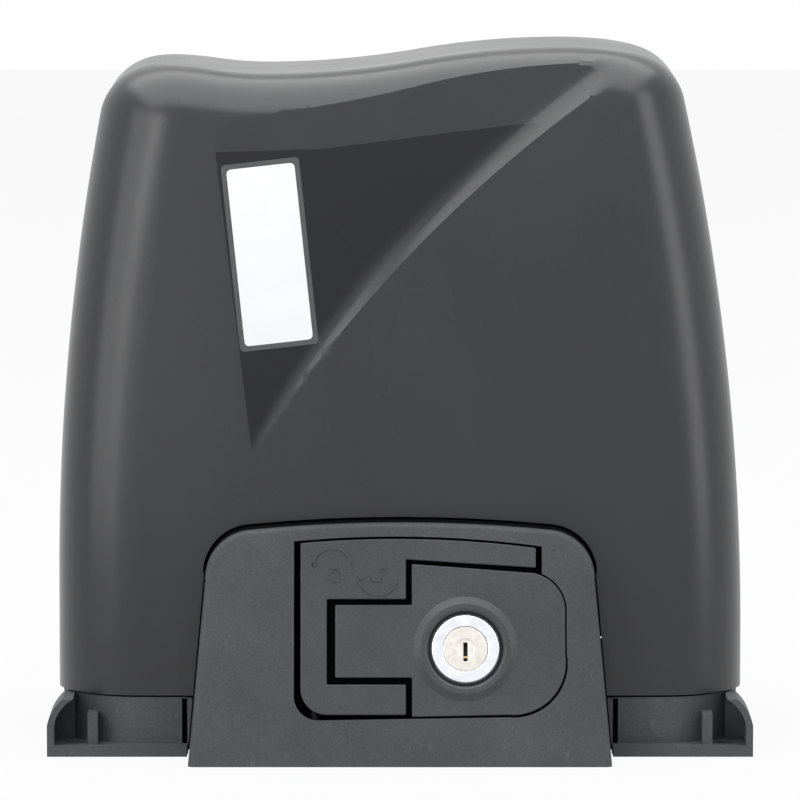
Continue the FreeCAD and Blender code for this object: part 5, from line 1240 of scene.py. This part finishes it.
class MOTOR_OT_stage(bpy.types.Operator):
    """Set the floor, the lights and the camera"""

    bl_idname = "motor.stage"
    bl_label = "Stage"

    def execute(self, context):
        stage = context.scene.motor_stage
        camera_data = bpy.data.cameras.new("camera")
        camera_data.lens = stage.lens
        camera_data.sensor_width = 36.0
        camera_data.clip_end = 50.0
        camera = bpy.data.objects.new("camera", camera_data)
        context.scene.collection.objects.link(camera)
        camera.location = (0.0, -stage.distance, stage.height)
        camera.rotation_euler = (math.radians(90.0) - stage.pitch, 0.0, 0.0)
        context.scene.camera = camera
        bm = bmesh.new()
        bmesh.ops.create_grid(bm, x_segments=1, y_segments=1, size=4.0)
        floor = as_object(bm, "floor", floor_material())
        floor.location.z = -0.0002
        for name, at, aim, size, power in (
                ("overhead", (0.0, 0.05, 1.5), (0.0, 0.05, 0.2), (2.6, 2.2), stage.overhead),
                ("high_front", (0.0, -1.7, 1.15), (0.0, 0.0, 0.15), (2.6, 0.9), stage.high_front),
                ("left", (-1.25, -0.95, 0.5), (0.0, 0.0, 0.14), (1.2, 1.2), stage.side * 1.4),
                ("right", (1.3, -0.6, 0.5), (0.0, 0.0, 0.14), (0.5, 1.2), stage.side * 0.9),
                ("upper_left", (-0.95, -1.45, 0.95), (0.0, 0.0, 0.16), (0.7, 0.6), stage.high_front),
                ("front", (-1.25, -2.45, 0.45), (0.0, 0.0, 0.12), (2.1, 1.1), stage.front)):
            area_lamp(name, at, aim, size, power)
        set_world(context.scene)
        context.scene.view_settings.view_transform = "Standard"
        return {"FINISHED"}


FLOOR_GLOW = 0.93


def sees_background(tree):
    """1 for rays of the camera and for rays that metal or glass sends on, 0 for all others."""
    path = tree.nodes.new("ShaderNodeLightPath")
    last = path.outputs["Is Camera Ray"]
    for name in ("Is Glossy Ray", "Is Transmission Ray"):
        either = tree.nodes.new("ShaderNodeMath")
        either.operation = "MAXIMUM"
        tree.links.new(last, either.inputs[0])
        tree.links.new(path.outputs[name], either.inputs[1])
        last = either.outputs[0]
    return last


def floor_material():
    """Pale floor that shows as nearly white, with the object's shadow kept."""
    material = bpy.data.materials.new("pale_floor")
    material.use_nodes = True
    tree = material.node_tree
    shader = tree.nodes["Principled BSDF"]
    shader.inputs["Base Color"].default_value = (0.5, 0.5, 0.505, 1.0)
    shader.inputs["Roughness"].default_value = 0.8
    shader.inputs["Specular IOR Level"].default_value = 0.1
    glow = tree.nodes.new("ShaderNodeEmission")
    glow.inputs["Strength"].default_value = 1.0
    share = tree.nodes.new("ShaderNodeMath")
    share.operation = "MULTIPLY"
    share.inputs[1].default_value = FLOOR_GLOW
    mix = tree.nodes.new("ShaderNodeMixShader")
    tree.links.new(sees_background(tree), share.inputs[0])
    tree.links.new(share.outputs[0], mix.inputs[0])
    tree.links.new(shader.outputs[0], mix.inputs[1])
    tree.links.new(glow.outputs[0], mix.inputs[2])
    tree.links.new(mix.outputs[0], tree.nodes["Material Output"].inputs["Surface"])
    return material


def set_world(scene):
    """Even soft surround, white where the camera, metal or glass sees it."""
    world = bpy.data.worlds.new("surround")
    scene.world = world
    world.use_nodes = True
    tree = world.node_tree
    soft = tree.nodes["Background"]
    soft.inputs["Color"].default_value = (0.9, 0.93, 1.0, 1.0)
    soft.inputs["Strength"].default_value = 0.22
    white = tree.nodes.new("ShaderNodeBackground")
    white.inputs["Color"].default_value = (1.0, 1.0, 1.0, 1.0)
    white.inputs["Strength"].default_value = 1.0
    mix = tree.nodes.new("ShaderNodeMixShader")
    tree.links.new(sees_background(tree), mix.inputs[0])
    tree.links.new(soft.outputs[0], mix.inputs[1])
    tree.links.new(white.outputs[0], mix.inputs[2])
    tree.links.new(mix.outputs[0], tree.nodes["World Output"].inputs["Surface"])


class MOTOR_PT_panel(bpy.types.Panel):
    """Lists the motor's settings and steps"""

    bl_idname = "MOTOR_PT_panel"
    bl_label = "Gate motor"
    bl_space_type = "VIEW_3D"
    bl_region_type = "UI"
    bl_category = "Gate motor"

    def draw(self, context):
        for group in ("motor_looks", "motor_label", "motor_stage"):
            settings = getattr(context.scene, group)
            box = self.layout.box()
            for name in settings.__annotations__:
                box.prop(settings, name)
        for operator in OPERATORS:
            self.layout.operator(operator.bl_idname)


GROUPS = {"motor_looks": MotorLooks, "motor_label": MotorLabel, "motor_stage": MotorStage}
OPERATORS = [
    MOTOR_OT_cover, MOTOR_OT_label, MOTOR_OT_base, MOTOR_OT_lever, MOTOR_OT_lock, MOTOR_OT_release,
    MOTOR_OT_drive, MOTOR_OT_motor, MOTOR_OT_electronics, MOTOR_OT_fasteners, MOTOR_OT_stage,
]


def register():
    for name, group in GROUPS.items():
        bpy.utils.register_class(group)
        setattr(bpy.types.Scene, name, bpy.props.PointerProperty(type=group))
    for kind in OPERATORS + [MOTOR_PT_panel]:
        bpy.utils.register_class(kind)


def unregister():
    for kind in [MOTOR_PT_panel] + OPERATORS[::-1]:
        bpy.utils.unregister_class(kind)
    for name, group in GROUPS.items():
        delattr(bpy.types.Scene, name)
        bpy.utils.unregister_class(group)


def main():
    register()
    for operator in OPERATORS:
        family, name = operator.bl_idname.split(".")
        getattr(getattr(bpy.ops, family), name)()


if __name__ == "__main__":
    main()
